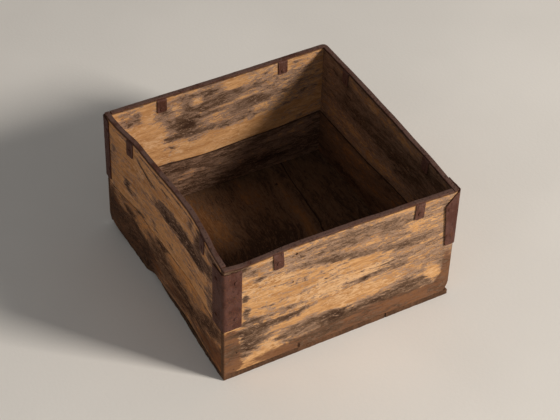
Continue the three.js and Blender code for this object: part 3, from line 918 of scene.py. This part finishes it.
LEFT_UPPER = Face(
    0.0, 0.1, (1.06, 0.97, 0.97), (0.25, 1.0),
    darks=(
        (20, 140, 44, 10, 1.5), (2, 146, 16, 6, 0.9), (62, 135, 32, 8, 1.5), (92, 142, 28, 9, 1.4, 8),
        (125, 154, 36, 8, 1.1, 12), (88, 168, 9, 26, 1.1, -18), (62, 176, 4, 8, 0.6, -20),
        (140, 176, 26, 10, 0.7), (-58, 165, 22, 2.2, 1.1, -14), (-50, 160, 12, 1.5, 0.8, -20),
        (-110, 113, 6, 7, 1.1), (-104, 103, 10, 2.5, 1.0, -20), (-78, 84, 16, 3, 0.9, 8),
        (-36, 98, 8, 4, 0.5), (9, 95, 8, 4, 0.8), (92, 104, 34, 1.2, 0.9, 4), (132, 100, 14, 26, 0.9, 20),
        (38, 135, 22, 1.4, -0.9), (30, 130, 12, 1.5, -0.7), (-20, 172, 40, 2, 0.3), (0, 183, 150, 2, 0.6),
        (-140, 150, 6, 5, 0.4),
    ),
    films=(
        (-150, 130, 15, 60, 0.5), (-80, 140, 60, 30, 0.35), (60, 110, 60, 10, 0.4), (130, 180, 34, 10, 0.9),
        (60, 170, 16, 12, 0.8), (-60, 110, 50, 14, 0.4),
    ),
)
LEFT_LOWER = Face(
    0.12, 0.3, (1.04, 0.87, 0.74), (1.0, 0.25),
    darks=(
        (-15, 76, 14, 6, 1.0, -8), (-24, 62, 26, 7, 0.9), (-112, 28, 52, 20, 4.0), (-112, 12, 56, 20, 3.0),
        (-10, 48, 46, 8, 0.7), (60, 42, 60, 8, 0.6, -6), (110, 52, 40, 11, 0.75, 25),
        (140, 70, 22, 12, 0.8, 30), (-20, 34, 30, 4, 0.5), (50, 28, 40, 3, 0.6), (110, 36, 30, 4, 0.6),
        (130, 18, 30, 3, 0.5), (30, 16, 50, 3, 0.4), (-100, 66, 16, 8, 0.5, -20), (-98, 56, 8, 6, 0.6),
        (-150, 60, 10, 20, 0.5), (30, 52, 30, 2, -0.5), (-10, 50, 30, 1.5, -0.5), (84, 28, 9, 4, -0.9),
        (100, 20, 14, 3, -0.8), (145, 18, 12, 8, -0.8), (30, 38, 30, 1.5, -0.5), (120, 42, 10, 3, -0.9),
        (10, 27, 14, 4, -0.6), (-30, 27, 16, 3, -0.7), (20, 45, 12, 1.5, -0.7), (-40, 38, 14, 1.5, -0.6),
        (60, 16, 10, 3, -0.6),
    ),
    films=((-150, 60, 20, 30, 0.5), (60, 28, 110, 24, 1.0), (130, 70, 40, 16, 0.8)),
    stains=(
        (140, 26, 40, 26, 0.9), (20, 26, 60, 20, 0.6), (-110, 26, 60, 24, 2.0), (-150, 56, 14, 30, 0.8),
    ),
)
BACK_UPPER = Face(
    0.02, 0.2, (0.96, 0.95, 0.98),
    darks=(
        (128, 172, 14, 11, 0.47), (86, 166, 10, 8, 0.31), (48, 160, 14, 18, 0.47), (14, 176, 18, 14, 0.47),
        (0, 158, 30, 8, 0.47), (45, 132, 14, 10, 0.62), (30, 122, 34, 4, 0.78), (56, 136, 18, 8, 0.55),
        (-42, 142, 22, 7, 0.7), (-75, 140, 26, 6, 0.47), (-30, 165, 30, 4, 0.55), (76, 120, 10, 4, 0.86),
        (72, 104, 14, 6, 0.47, 30), (70, 98, 8, 6, 0.39), (80, 80, 17, 3.5, 1.3, -8),
        (-10, 118, 18, 4, 0.39), (-45, 122, 14, 8, 0.31), (-25, 98, 5, 6, 0.39), (44, 78, 8, 3, 0.47),
        (70, 146, 12, 5, 0.47), (-20, 132, 20, 6, 0.39), (20, 145, 30, 3, 0.47), (-100, 168, 30, 3, 0.39),
        (-130, 150, 20, 20, 0.31), (10, 92, 60, 12, -0.9), (-25, 180, 18, 7, -0.9),
        (35, 170, 8, 6, -1.1, -20), (108, 172, 8, 10, -0.9), (120, 130, 28, 28, -0.5),
        (-5, 150, 16, 2, -0.7), (10, 140, 14, 2, -0.7), (-40, 152, 14, 2, -0.7),
    ),
    films=(
        (20, 160, 70, 28, 1.0), (-60, 150, 60, 30, 0.9), (130, 172, 16, 12, 1.0), (86, 166, 12, 14, 0.8),
        (55, 130, 30, 16, 0.7), (0, 92, 60, 14, -0.9), (110, 120, 34, 34, -0.7), (-40, 116, 40, 12, 0.5),
    ),
)
# Inner face of the back wall's lower board; its tint is painted shadow.
BACK_LOWER = Face(
    0.34, 1.0, (0.78, 0.74, 0.76), (1.0, 0.6),
    darks=(
        (45, 54, 16, 3, -0.8), (60, 46, 14, 3, -0.7), (-60, 46, 50, 7, -0.4), (70, 66, 30, 4, 0.4),
        (-100, 66, 30, 4, -0.4), (30, 60, 10, 4, 0.4), (-60, 30, 80, 12, 0.4),
    ),
)
# Inner face of the right wall's upper board; its tint is painted shadow.
RIGHT_UPPER = Face(
    0.16, 0.7, (0.66, 0.62, 0.60),
    darks=(
        (30, 178, 70, 7, -0.5), (-60, 176, 30, 6, -0.4), (40, 145, 60, 22, 0.35), (-60, 140, 60, 20, 0.35),
        (90, 110, 50, 12, -0.4, -6), (10, 96, 50, 7, -0.4, -6), (-110, 170, 30, 10, 0.5),
        (100, 172, 20, 6, 0.5),
    ),
    films=((0, 140, 120, 30, 0.5),),
)
# Inner face of the right wall's lower board; its tint is painted shadow.
RIGHT_LOWER = Face(
    0.25, 0.7, (0.42, 0.36, 0.32),
    darks=(
        (80, 66, 60, 8, -0.4, -8), (0, 46, 60, 6, -0.4, -8), (-60, 28, 50, 5, -0.4, -8),
        (60, 22, 60, 8, 0.4),
    ),
)
FLOOR_LEFT = Face(
    0.42, 0.6,
    darks=(
        (-75, -66, 90, 9, -1.1), (70, -62, 60, 8, -0.5), (80, 60, 60, 26, -0.8), (-130, 110, 22, 12, -0.7),
        (-50, 0, 80, 40, 0.5), (10, 100, 30, 10, -0.5, 10), (120, -10, 30, 20, -0.4),
        (-60, 80, 90, 50, 0.7),
    ),
    holes=((122, -60, 2.6, 2.2, 1.0),),
)
FLOOR_RIGHT = Face(0.42, 0.6)


class Piece:
    """Shared manners of the sub-assemblies: how a finished piece is handed to the frame."""

    @staticmethod
    def hand_over(piece: Obj, node: str, slot: Slot, material: Material) -> None:
        """Dresses a piece and lets it stand for its CAD node.

        Args:
            piece: the finished piece.
            node: the CAD node that it replaces.
            slot: a material slot; not used.
            material: its finish.
        """
        piece.data.materials.clear()
        piece.data.materials.append(material)
        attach(piece, "root")
        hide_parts(node)
        log.info("%s: %d faces", piece.name, len(piece.data.polygons))


@dataclass
class Boards(Piece):
    """The eight boards of the walls.

    Inner foot is the share of the lower edge's wear that the inner face shows.
    """

    edge: float = 0.45
    step: float = 1.9
    relief: float = 0.42
    relief_size: float = 9.0
    inner_foot: float = 0.15
    right_wear: float = 0.7
    split_at: float = -54.0
    split_width: float = 3.0
    split_height: float = 17.0
    split_reach: float = 12.0
    chip_width: float = 8.0
    chip_height: float = 15.0
    front_seam: Points = ((-1, 1), (-0.35, 1), (-0.1, 0.1), (0.8, 0.1), (1, 0.8))
    faces: dict = field(default_factory=lambda: {
        "front_upper": (FRONT_UPPER, scattered(11, 82, 188, 0.45)),
        "front_lower": (FRONT_LOWER, scattered(12, 8, 82, 0.6)),
        "right_upper": (scattered(13, 82, 188, 0.25), RIGHT_UPPER),
        "right_lower": (scattered(14, 8, 82, 0.5), RIGHT_LOWER),
        "back_upper": (scattered(15, 82, 188, 0.3), BACK_UPPER),
        "back_lower": (scattered(16, 8, 82, 0.5), BACK_LOWER),
        "left_upper": (LEFT_UPPER, scattered(17, 82, 188, 0.4)),
        "left_lower": (LEFT_LOWER, scattered(18, 8, 82, 0.6)),
    })

    @staticmethod
    def heights(upper: bool) -> tuple[float, float]:
        """Lower and upper edge of a straight board."""
        return (SEAM + GAP, TOP) if upper else (FOOT, SEAM)

    def seam_wear(self, wall: Wall, seed: int, s: Array) -> Array:
        """How far the worn edges stand off the seam at s."""
        shut = line_at(self.front_seam, s / OUTER) if wall is FRONT else 1.0
        return shut * (0.35 + np.abs(ripple(s, seed, 0.7, 90)))

    def low(self, wall: Wall, upper: bool, seed: int, s: Array) -> Array:
        """Height of a board's worn lower edge.

        Args:
            wall: the board's wall.
            upper: whether it is the upper board.
            seed: picks the wear.
            s: places along the wall.

        Returns:
            The edge's height at each place.
        """
        if upper:
            return wall.seam(s) + GAP + self.seam_wear(wall, seed, s) * 0.5
        chip = np.clip((s - OUTER + self.chip_width) / self.chip_width, 0, 1) ** 1.5
        worn = self.chip_height * chip if wall is FRONT else 0 * s
        return wall.foot(s) + 0.2 + np.abs(ripple(s, seed + 40, 0.8, 70)) + worn

    def high(self, wall: Wall, upper: bool, seed: int, s: Array) -> Array:
        """Height of a board's upper edge at s."""
        return wall.top(s) if upper else wall.seam(s) - self.seam_wear(wall, seed, s)

    def fit(self, wall: Wall, upper: bool, seed: int, points: Array) -> Array:
        """Fits a straight board into its wall.

        Args:
            wall: the board's wall.
            upper: whether it is the upper board.
            seed: picks the wear.
            points: the straight board's points, x along it, y up and z outwards.

        Returns:
            Their places in the measure.
        """
        z_low, z_high = self.heights(upper)
        s, z, n = points.T
        share = np.clip((z - z_low) / (z_high - z_low), 0, 1)
        foot = self.low(wall, upper, seed, s)
        if not upper:
            foot = z_low + (foot - z_low) * (self.inner_foot + (1 - self.inner_foot) * (1 + n / THICK))
        if wall is LEFT and not upper:
            s, foot = self.split(s, foot)
        z = z + (1 - share) * (foot - z_low) + share * (self.high(wall, upper, seed, s) - z_high)
        y = wall.bow(s, z) - n - OUTER
        if wall.through:
            s, y = round_corners(wall, s, y, OUTER)
        return wall.world(np.stack([s, y, z], 1))

    def split(self, s: Array, low: Array) -> tuple[Array, Array]:
        """Opens the split that runs up from the left wall's lower edge.

        Args:
            s: places along the wall.
            low: height of the lower edge there.

        Returns:
            The places, drawn together at the split, and the lower edge with the split in it.
        """
        away = np.clip(s - self.split_at, -self.split_reach, self.split_reach)
        near = away * (np.abs(away) / self.split_reach) ** 0.8
        open_share = np.clip(1 - np.abs(near) / (self.split_width / 2), 0, 1) ** 0.5
        return s - away + near, low + self.split_height * open_share

    def build(self) -> None:
        """Makes, weathers and dresses the boards."""
        for number, wall in enumerate(WALLS):
            for upper in (True, False):
                part = f"{wall.name}_{'upper' if upper else 'lower'}"
                reach = OUTER if wall.through else INNER - GAP
                z_low, z_high = self.heights(upper)
                steps = (round(2 * reach / self.step), round((z_high - z_low) / self.step))
                low, high = (-reach, z_low, -THICK), (reach, z_high, 0)
                board = Bench.slab(f"{part}_wood", low, high, steps, self.edge)
                seed = 2 * number + upper
                Bench.reshape(board, partial(self.fit, wall, upper, seed))
                Bench.weather(board, self.relief, self.relief_size, wall.turn)
                Bench.smooth(board)
                outer, inner = self.faces[part]
                wear = self.right_wear if wall is RIGHT else 1.0
                finish = WoodFinish(f"wood_{part}", 7 + 5 * seed, outer, inner, z_low, z_high, wear=wear)
                self.hand_over(board, f"{part}_board", Slot.BOARD, finish.make())


def round_corners(wall: Wall, s: Array, y: Array, reach: float) -> tuple[Array, Array]:
    """Rounds a through piece's two outer corners.

    Args:
        wall: the piece's wall.
        s: places along the wall.
        y: places across it.
        reach: half length of the square whose corners are rounded.

    Returns:
        The new places along and across the wall.
    """
    for side, corner in ((-1, wall.start), (1, wall.end)):
        centre = reach - corner.round
        a = (side * s - centre) / corner.round
        b = (-y - centre) / corner.round
        near = (a > 0) & (b > 0)
        a, b = np.minimum(a, 1.1), np.minimum(b, 1.1)
        turned_a, turned_b = a * np.sqrt(1 - b * b / 2), b * np.sqrt(1 - a * a / 2)
        s = np.where(near, side * (centre + turned_a * corner.round), s)
        y = np.where(near, -(centre + turned_b * corner.round), y)
    return s, y


@dataclass
class Floor(Piece):
    """The two planks of the floor, running from front to back."""

    edge: float = 0.8
    gap: float = 0.8
    step: float = 2.4
    left_width: float = 248.0
    right_width: float = 84.0
    right_reach: float = 82.0
    no_edge: float = 1000.0

    def fit(self, left: bool, reach: float, width: float, points: Array) -> Array:
        """Gives a straight plank its wavy joint and its broken edge.

        Args:
            left: whether it is the left plank.
            reach: how far the straight plank reaches in y, where its left edge is.
            width: its width.
            points: its points, x along the plank and y across it.

        Returns:
            Their places in the measure.
        """
        along, across, z = points.T
        share = (across - reach + width / 2) / width
        seam = line_at(PLANK_SEAM, along / OUTER) + ripple(along, 5, 0.7, 80)
        loss = line_at(PLANK_LOSS, along / OUTER) + np.abs(ripple(along, 6, 0.9, 60))
        if left:
            low, high = loss - OUTER, seam - self.gap / 2
        else:
            low, high = seam + self.gap / 2, OUTER - np.abs(ripple(along, 8, 0.5, 60))
        x = low + (0.5 - share) * (high - low)
        ends = np.abs(along) / OUTER
        y = along - np.sign(along) * np.clip(ends - 0.98, 0, 1) * 50 * np.abs(ripple(x, 9, 0.5, 50))
        return np.stack([x, y, z], 1)

    def build(self) -> None:
        """Makes and dresses the planks."""
        for left, reach, width, face, seed in (
            (True, OUTER, self.left_width, FLOOR_LEFT, 61),
            (False, self.right_reach, self.right_width, FLOOR_RIGHT, 67),
        ):
            name = f"floor_plank_{'left' if left else 'right'}"
            dirty = (reach - width, self.no_edge) if left else (-self.no_edge, reach)
            steps = (round(2 * OUTER / self.step), round(width / self.step))
            low, high = (-OUTER, reach - width, 0), (OUTER, reach, BOTTOM)
            plank = Bench.slab(f"{name}_wood", low, high, steps, self.edge)
            Bench.reshape(plank, partial(self.fit, left, reach, width))
            Bench.smooth(plank)
            finish = FloorFinish(f"wood_{name}", seed, face, scattered(seed, -165, 165, 0.5), *dirty)
            self.hand_over(plank, name, Slot.FLOOR, finish.make())


@dataclass
class RimBars(Piece):
    """The four iron bars that lie on the walls' top edges."""

    edge: float = 0.7
    step: float = 1.6

    @staticmethod
    def fit(wall: Wall, seed: int, points: Array) -> Array:
        """Lays a straight bar on its wall.

        Args:
            wall: the bar's wall.
            seed: picks its unevenness.
            points: the straight bar's points, x along it and y inwards from its outer edge.

        Returns:
            Their places in the measure.
        """
        s, y, n = points.T
        z = wall.top(s) + GAP + n * (1 + ripple(s, seed, 0.06, 60)) + ripple(s, seed + 3, 0.12, 45)
        widen = ripple(s, seed + 1, 0.28, 50) * (y / RIM_WIDTH)
        y = np.clip(RIM_INSET + y - widen, RIM_INSET, None) - OUTER + wall.bow(s, z)
        s, y = round_corners(wall, s, y, OUTER - RIM_INSET)
        return wall.world(np.stack([s, y, np.minimum(z, RIM_TOP)], 1))

    def build(self, finish: Material) -> None:
        """Makes and dresses the bars.

        Args:
            finish: their material.
        """
        for number, wall in enumerate(WALLS):
            start = RIM_INSET - OUTER
            end = OUTER - RIM_INSET - RIM_WIDTH - RIM_GAP
            steps = (round((end - start) / self.step), 6)
            low, high = (start, 0, 0), (end, RIM_WIDTH, RIM_THICK)
            bar = Bench.slab(f"rim_bar_{wall.name}_iron", low, high, steps, self.edge)
            Bench.reshape(bar, partial(self.fit, wall, 90 + 7 * number))
            Bench.smooth(bar, IRON_CREASE)
            self.hand_over(bar, f"rim_bar_{wall.name}", Slot.RIM, finish)


@dataclass
class Saddles(Piece):
    """Iron straps bent over the walls' top edges, each with its rivet."""

    width: float = 14.0
    leg: float = 24.0
    inner_leg: float = 20.5
    thick: float = 1.2
    bend: float = 0.5
    toe: float = 1.6
    lift: float = 0.5
    rivet_from_top: float = 15.0
    rivet_head: float = 2.9
    rivet_dome: float = 0.9
    rivet_shank: float = 1.4
    edge: float = 0.35
    steps: tuple[int, int] = (90, 14)
    relief: float = 0.25
    relief_size: float = 6.0

    @property
    def sides(self) -> tuple[float, float]:
        """Lengths of the straight parts of the outer and the inner leg."""
        bent = self.thick + self.bend
        return self.leg - bent, self.inner_leg - bent

    @property
    def length(self) -> float:
        """Length of the straight strap before it is bent."""
        return sum(self.sides) + self.bend * math.pi + THICK + 2 * GAP - 2 * self.bend

    def shape(self, points: Array) -> Array:
        """Bends a flat strip over the wall: x along the strip, y across it, z outwards.

        Args:
            points: the strip's points.

        Returns:
            Their places in the saddle's frame.
        """
        t, across, n = points.T
        side, back = self.sides
        curve = self.bend * math.pi / 2
        ends = np.minimum(t, self.length - t)
        across = across * (1 - np.clip(1 - ends / self.toe, 0, 1) * self.toe / (self.width / 2))
        inner = t > (side + self.length - back) / 2
        u = np.where(inner, self.length - back - t, t - side)
        down = np.clip(-u / side, 0, 1)
        n = n + self.lift * down * np.clip(0.3 + across / self.width, 0, 1) * ~inner
        angle = np.clip(u / curve, 0, 1) * math.pi / 2
        y = -GAP + self.bend - np.cos(angle) * (self.bend + n) + np.clip(u - curve, 0, None)
        z = -self.thick - self.bend + np.sin(angle) * (self.bend + n) - np.clip(-u, 0, None)
        y = np.where(inner, THICK - y, y)
        return np.stack([-across, y, z], 1)

    def rivet(self) -> Obj:
        """Makes a rivet with a hammered dome at each end, along y through the wall.

        Returns:
            The rivet.
        """
        inner = -2 * GAP - self.thick
        reach = THICK / 2 - inner
        near = Nails.dome("rivet_near", self.rivet_head, self.rivet_dome, self.rivet_shank, reach)
        far = Bench.copy(near, "rivet_far", Matrix.Rotation(math.pi, 4, "Z"))
        for head, y in ((near, inner), (far, THICK - inner)):
            head.data.transform(Matrix.Translation((0, y * MM, 0)))
        Bench.only(near)
        far.select_set(True)
        bpy.ops.object.join()
        return near

    def build(self, finish: Material) -> None:
        """Makes and dresses the saddles and their rivets.

        Args:
            finish: their material.
        """
        low, high = (0, -self.width / 2, 0), (self.length, self.width / 2, self.thick)
        strap = Bench.slab("strap", low, high, self.steps, self.edge)
        Bench.reshape(strap, self.shape)
        rivet = self.rivet()
        for wall in WALLS:
            for end, s in (("start", wall.saddles[0] - OUTER), ("end", OUTER - wall.saddles[1])):
                turn = Matrix.Rotation(wall.turn, 4, "Z")
                seat = turn @ wall.face(s, float(wall.top(np.array([s]))[0]), wall.top)
                saddle = Bench.copy(strap, f"rim_saddle_{wall.name}_{end}_iron", seat)
                Bench.weather(saddle, self.relief, self.relief_size, wall.turn, 1)
                below = seat @ Matrix.Translation((0, 0, -self.rivet_from_top))
                head = Bench.copy(rivet, f"saddle_rivet_{wall.name}_{end}_iron", below)
                for piece, slot in ((saddle, Slot.RIM), (head, Slot.NAIL)):
                    Bench.smooth(piece, IRON_CREASE)
                    self.hand_over(piece, piece.name.removesuffix("_iron"), slot, finish)
        bpy.data.objects.remove(strap)
        bpy.data.objects.remove(rivet)


@dataclass
class Angles(Piece):
    """Iron strips bent round the corners of the upper boards."""

    thick: float = 1.5
    edge: float = 0.45
    step: float = 1.5
    relief: float = 0.3
    relief_size: float = 14.0

    @staticmethod
    def fit(wall: Wall, points: Array) -> Array:
        """Bends a flat strip round the corner where a wall starts.

        Args:
            wall: the wall that starts at the corner.
            points: the strip's points, x round the corner, y up and z outwards.

        Returns:
            Their places in the measure.
        """
        corner = wall.start
        bend = corner.bend
        centre = corner.round - OUTER
        t, z, n = points.T
        n = n + GAP
        rise = np.clip((z - corner.foot) / (corner.top - corner.foot - corner.trim_down), 0, 1)
        t = np.where(t < -bend, -bend + (t + bend) * (1 - corner.taper * (1 - rise)), t)
        free = np.clip((-t - bend) / (corner.leaf_end - corner.round), 0, 1)
        n = n + corner.lift_end * free * free
        angle = np.clip(t / bend, -1, 1) * math.pi / 4 + 1.25 * math.pi
        radius = corner.round + n
        x = centre + radius * np.cos(angle) + np.clip(t - bend, 0, None)
        y = centre + radius * np.sin(angle) + np.clip(-t - bend, 0, None)
        sway = ripple(t, 31, 0.45, 30) * np.where(z > (corner.foot + corner.top) / 2, 1, -1)
        return wall.world(np.stack([x, y, z + sway], 1))

    def build(self, finish: Material) -> None:
        """Makes and dresses the angles.

        Args:
            finish: their material.
        """
        for wall in WALLS:
            corner = wall.start
            start = corner.round - corner.leaf_end - corner.bend
            end = corner.leaf_start - corner.round + corner.bend
            low, high = (start, corner.foot, 0.0), (end, corner.top, self.thick)
            steps = (round((end - start) / self.step), round((high[1] - low[1]) / self.step))
            trim = None
            if corner.trim_across:
                point = np.array([start, corner.top - corner.trim_down, 0])
                trim = (point, np.array([-corner.trim_down, corner.trim_across, 0]))
            angle = Bench.slab(f"corner_angle_{corner.name}_iron", low, high, steps, self.edge, trim)
            Bench.reshape(angle, partial(self.fit, wall))
            Bench.weather(angle, self.relief, self.relief_size, 0, 1)
            Bench.smooth(angle, IRON_CREASE)
            self.hand_over(angle, f"corner_angle_{corner.name}", Slot.ANGLE, finish)


@dataclass
class Nails(Piece):
    """Nails of the angles, of the lower boards' corners and of the floor.

    A head's rim is rounded by a share of its height. A shank is straight for a share of its length, and its
    point is a share of its width.
    """

    angle_head: float = 2.6
    angle_dome: float = 0.9
    angle_seat: float = -2.1
    from_end: float = 17.0
    angle_shank: tuple[float, float] = (1.1, 7.2)
    long_head: float = 3.2
    long_plate: float = 1.2
    long_shank: tuple[float, float] = (1.3, 22.0)
    twist: float = 1.3
    corner_height: float = 46.0
    floor_from_side: float = 52.0
    rounded: float = 0.75
    straight: float = 0.6
    point: float = 0.45
    relief: float = 0.15
    relief_size: float = 2.5

    @classmethod
    def dome(cls, name: str, radius: float, height: float, shank: float, length: float) -> Obj:
        """A nail along y: its head towards -y on y = 0, its shank into +y.

        Args:
            name: the nail's name.
            radius: the head's radius.
            height: the head's height.
            shank: the shank's radius.
            length: the shank's length.

        Returns:
            The nail.
        """
        bpy.ops.object.select_all(action="DESELECT")
        bpy.ops.mesh.primitive_cylinder_add(vertices=18, radius=radius * MM, depth=height * MM)
        nail = bpy.context.object
        nail.name = nail.data.name = name
        nail.location.z = height * MM / 2
        Bench.apply(nail)
        Bench.pick(nail, lambda polygon: polygon.normal.z > 0.9)
        bpy.ops.mesh.bevel(offset=height * cls.rounded * MM, segments=4, affect="EDGES")
        Bench.pick(nail, lambda polygon: polygon.normal.z < -0.9)
        bpy.ops.mesh.inset(thickness=(radius - shank) * MM)
        for share in (cls.straight, 1 - cls.straight):
            bpy.ops.mesh.extrude_region_move(TRANSFORM_OT_translate={"value": (0, 0, -share * length * MM)})
        bpy.ops.transform.resize(value=(cls.point, cls.point, 1))
        bpy.ops.object.mode_set(mode="OBJECT")
        Bench.weather(nail, cls.relief, cls.relief_size, 0, 1)
        nail.data.transform(Matrix.Rotation(math.pi / 2, 4, "X"))
        return nail

    def places(self) -> dict[str, list[tuple[str, Matrix]]]:
        """Where every nail goes.

        Returns:
            For each kind, the nails' CAD nodes and their frames in millimetres.
        """
        found: dict[str, list[tuple[str, Matrix]]] = {"angle": [], "corner": [], "floor": []}
        for wall in WALLS:
            turn = Matrix.Rotation(wall.turn, 4, "Z")
            ends = (
                (wall.start, (THICK + wall.start.leaf_start) / 2 - OUTER, -1),
                (wall.end, OUTER - (THICK + wall.end.leaf_end) / 2, 1),
            )
            for corner, s, side in ends:
                heights = (corner.foot + self.from_end, corner.top - self.from_end - corner.trim_down / 2)
                for which, z in zip(("low", "high"), heights):
                    seat = Matrix.Translation((s, self.angle_seat - OUTER, z))
                    found["angle"].append((f"angle_nail_{corner.name}_{wall.name}_{which}", turn @ seat))
                if wall.through:
                    seat = turn @ wall.face(side * (OUTER - THICK / 2), self.corner_height)
                    found["corner"].append((f"corner_nail_{corner.name}", seat))
            if wall.through:
                for number, seat in enumerate(self.under(wall), 1):
                    found["floor"].append((f"floor_nail_{wall.name}_{number}", seat))
        return found

    def under(self, wall: Wall) -> list[Matrix]:
        """Places the nails under a through wall.

        Args:
            wall: the wall.

        Returns:
            Their frames, pointing up.
        """
        seam = PLANK_SEAM[0][1] if wall is FRONT else PLANK_SEAM[-1][1]
        y = OUTER - THICK / 2
        across = (self.floor_from_side - OUTER, seam - self.floor_from_side, (seam + OUTER) / 2)
        upright = Matrix.Rotation(math.pi / 2, 4, "X")
        return [Matrix.Translation((x, -y if wall is FRONT else y, 0)) @ upright for x in across]

    def build(self, finish: Material, angle_finish: Material) -> None:
        """Makes and dresses the nails.

        Args:
            finish: the material of the corner and floor nails.
            angle_finish: the material of the angles' nails.
        """
        small = self.dome("small_nail", self.angle_head, self.angle_dome, *self.angle_shank)
        plate = self.dome("plate_nail", self.long_head, self.long_plate, *self.long_shank)
        plate.data.transform(Matrix.Translation((0, (self.long_plate + GAP) * MM, 0)))
        for kind, model in (("angle", small), ("corner", plate), ("floor", plate)):
            for number, (node, seat) in enumerate(self.places()[kind]):
                twist = Matrix.Rotation(self.twist * number, 4, "Y")
                nail = Bench.copy(model, f"{node}_iron", seat @ twist)
                Bench.smooth(nail, IRON_CREASE)
                self.hand_over(nail, node, Slot.NAIL, angle_finish if kind == "angle" else finish)
        bpy.data.objects.remove(small)
        bpy.data.objects.remove(plate)


@dataclass
class Studio:
    """Plain pale floor, soft light and the camera."""

    floor_colour: Colour = (0.80, 0.755, 0.70)
    key_power: float = 262.0
    key_size: float = 0.95
    key_from: Colour = (2.80, -3.30, 2.50)
    key_colour: Colour = (1.0, 0.96, 0.90)
    fill_power: float = 4.0
    fill_size: float = 1.6
    fill_from: Colour = (-1.8, -1.2, 1.6)
    fill_colour: Colour = (0.92, 0.96, 1.0)
    aim_height: float = 0.08
    ambient: float = 0.2
    eye: Colour = (-0.82021, -1.40043, 1.53014)
    eye_turn: Colour = (48.30263, -1.41132, -29.25642)
    lens: float = 106.8055

    def floor(self) -> None:
        """A wide flat ground."""
        bpy.ops.object.select_all(action="DESELECT")
        bpy.ops.mesh.primitive_plane_add(size=16)
        ground = bpy.context.object
        ground.name = "ground"
        graph = Graph("ground_pale")
        place = graph.node("ShaderNodeTexCoord").outputs["Object"]
        soft = graph.noise(place, (3, 3, 3), 1.0, 3)
        pale = tuple(c * 0.94 for c in self.floor_colour)
        colour = graph.mix(self.floor_colour, pale, soft.step(-0.2, 0.2))
        grit = graph.noise(place, (220, 220, 220), 2.0, 3)
        ground.data.materials.append(graph.finish(colour, 0.9 + grit * 0.05, grit, 0.0002))

    def lamp(self, name: str, place: Colour, power: float, size: float, colour: Colour) -> None:
        """A square soft lamp that faces the measure.

        Args:
            name: the lamp's name.
            place: where it stands, in metres.
            power: its power in watts.
            size: its side in metres.
            colour: its colour.
        """
        bpy.ops.object.light_add(type="AREA", location=place)
        lamp = bpy.context.object
        lamp.name = name
        lamp.data.energy, lamp.data.size, lamp.data.color = power, size, colour
        aim = Matrix.Translation((0, 0, self.aim_height)).translation - lamp.location
        lamp.rotation_euler = aim.to_track_quat("-Z", "Y").to_euler()

    def sky(self) -> None:
        """Even light from all round, and white where the camera sees past the floor."""
        world = bpy.data.worlds.new("studio")
        bpy.context.scene.world = world
        world.use_nodes = True
        tree = world.node_tree
        path = tree.nodes.new("ShaderNodeLightPath")
        strength = tree.nodes.new("ShaderNodeMapRange")
        strength.inputs["To Min"].default_value = self.ambient
        tree.links.new(path.outputs["Is Camera Ray"], strength.inputs["Value"])
        back = tree.nodes["Background"]
        back.inputs["Color"].default_value = (1, 1, 1, 1)
        tree.links.new(strength.outputs[0], back.inputs["Strength"])

    def camera(self) -> None:
        """The photograph's viewpoint."""
        bpy.ops.object.camera_add(location=self.eye)
        camera = bpy.context.object
        camera.rotation_euler = [math.radians(a) for a in self.eye_turn]
        camera.data.sensor_width = 36.0
        camera.data.lens = self.lens
        camera.data.clip_end = 50.0
        bpy.context.scene.camera = camera

    def build(self) -> None:
        """Sets up floor, lamps, sky and camera."""
        self.floor()
        self.lamp("key", self.key_from, self.key_power, self.key_size, self.key_colour)
        self.lamp("fill", self.fill_from, self.fill_power, self.fill_size, self.fill_colour)
        self.sky()
        self.camera()
        bpy.context.scene.view_settings.view_transform = "Standard"
        log.info("studio ready")


def main() -> None:
    """Builds the dressed measure and its studio."""
    logging.basicConfig(level=logging.INFO, format="%(message)s")
    rim = IronFinish("iron_rim", 3, rub_top=0.75).make()
    saddle = IronFinish("iron_saddle", 9, brown=(0.094, 0.035, 0.022), purple=(0.118, 0.053, 0.039)).make()
    angle = IronFinish("iron_angle", 21, specks=0.6).make()
    nail = IronFinish("iron_nail", 33, brown=(0.085, 0.045, 0.036), specks=0.4).make()
    Boards().build()
    Floor().build()
    RimBars().build(rim)
    Saddles().build(saddle)
    Angles().build(angle)
    Nails().build(nail, angle)
    Studio().build()


if __name__ == "__main__":
    main()
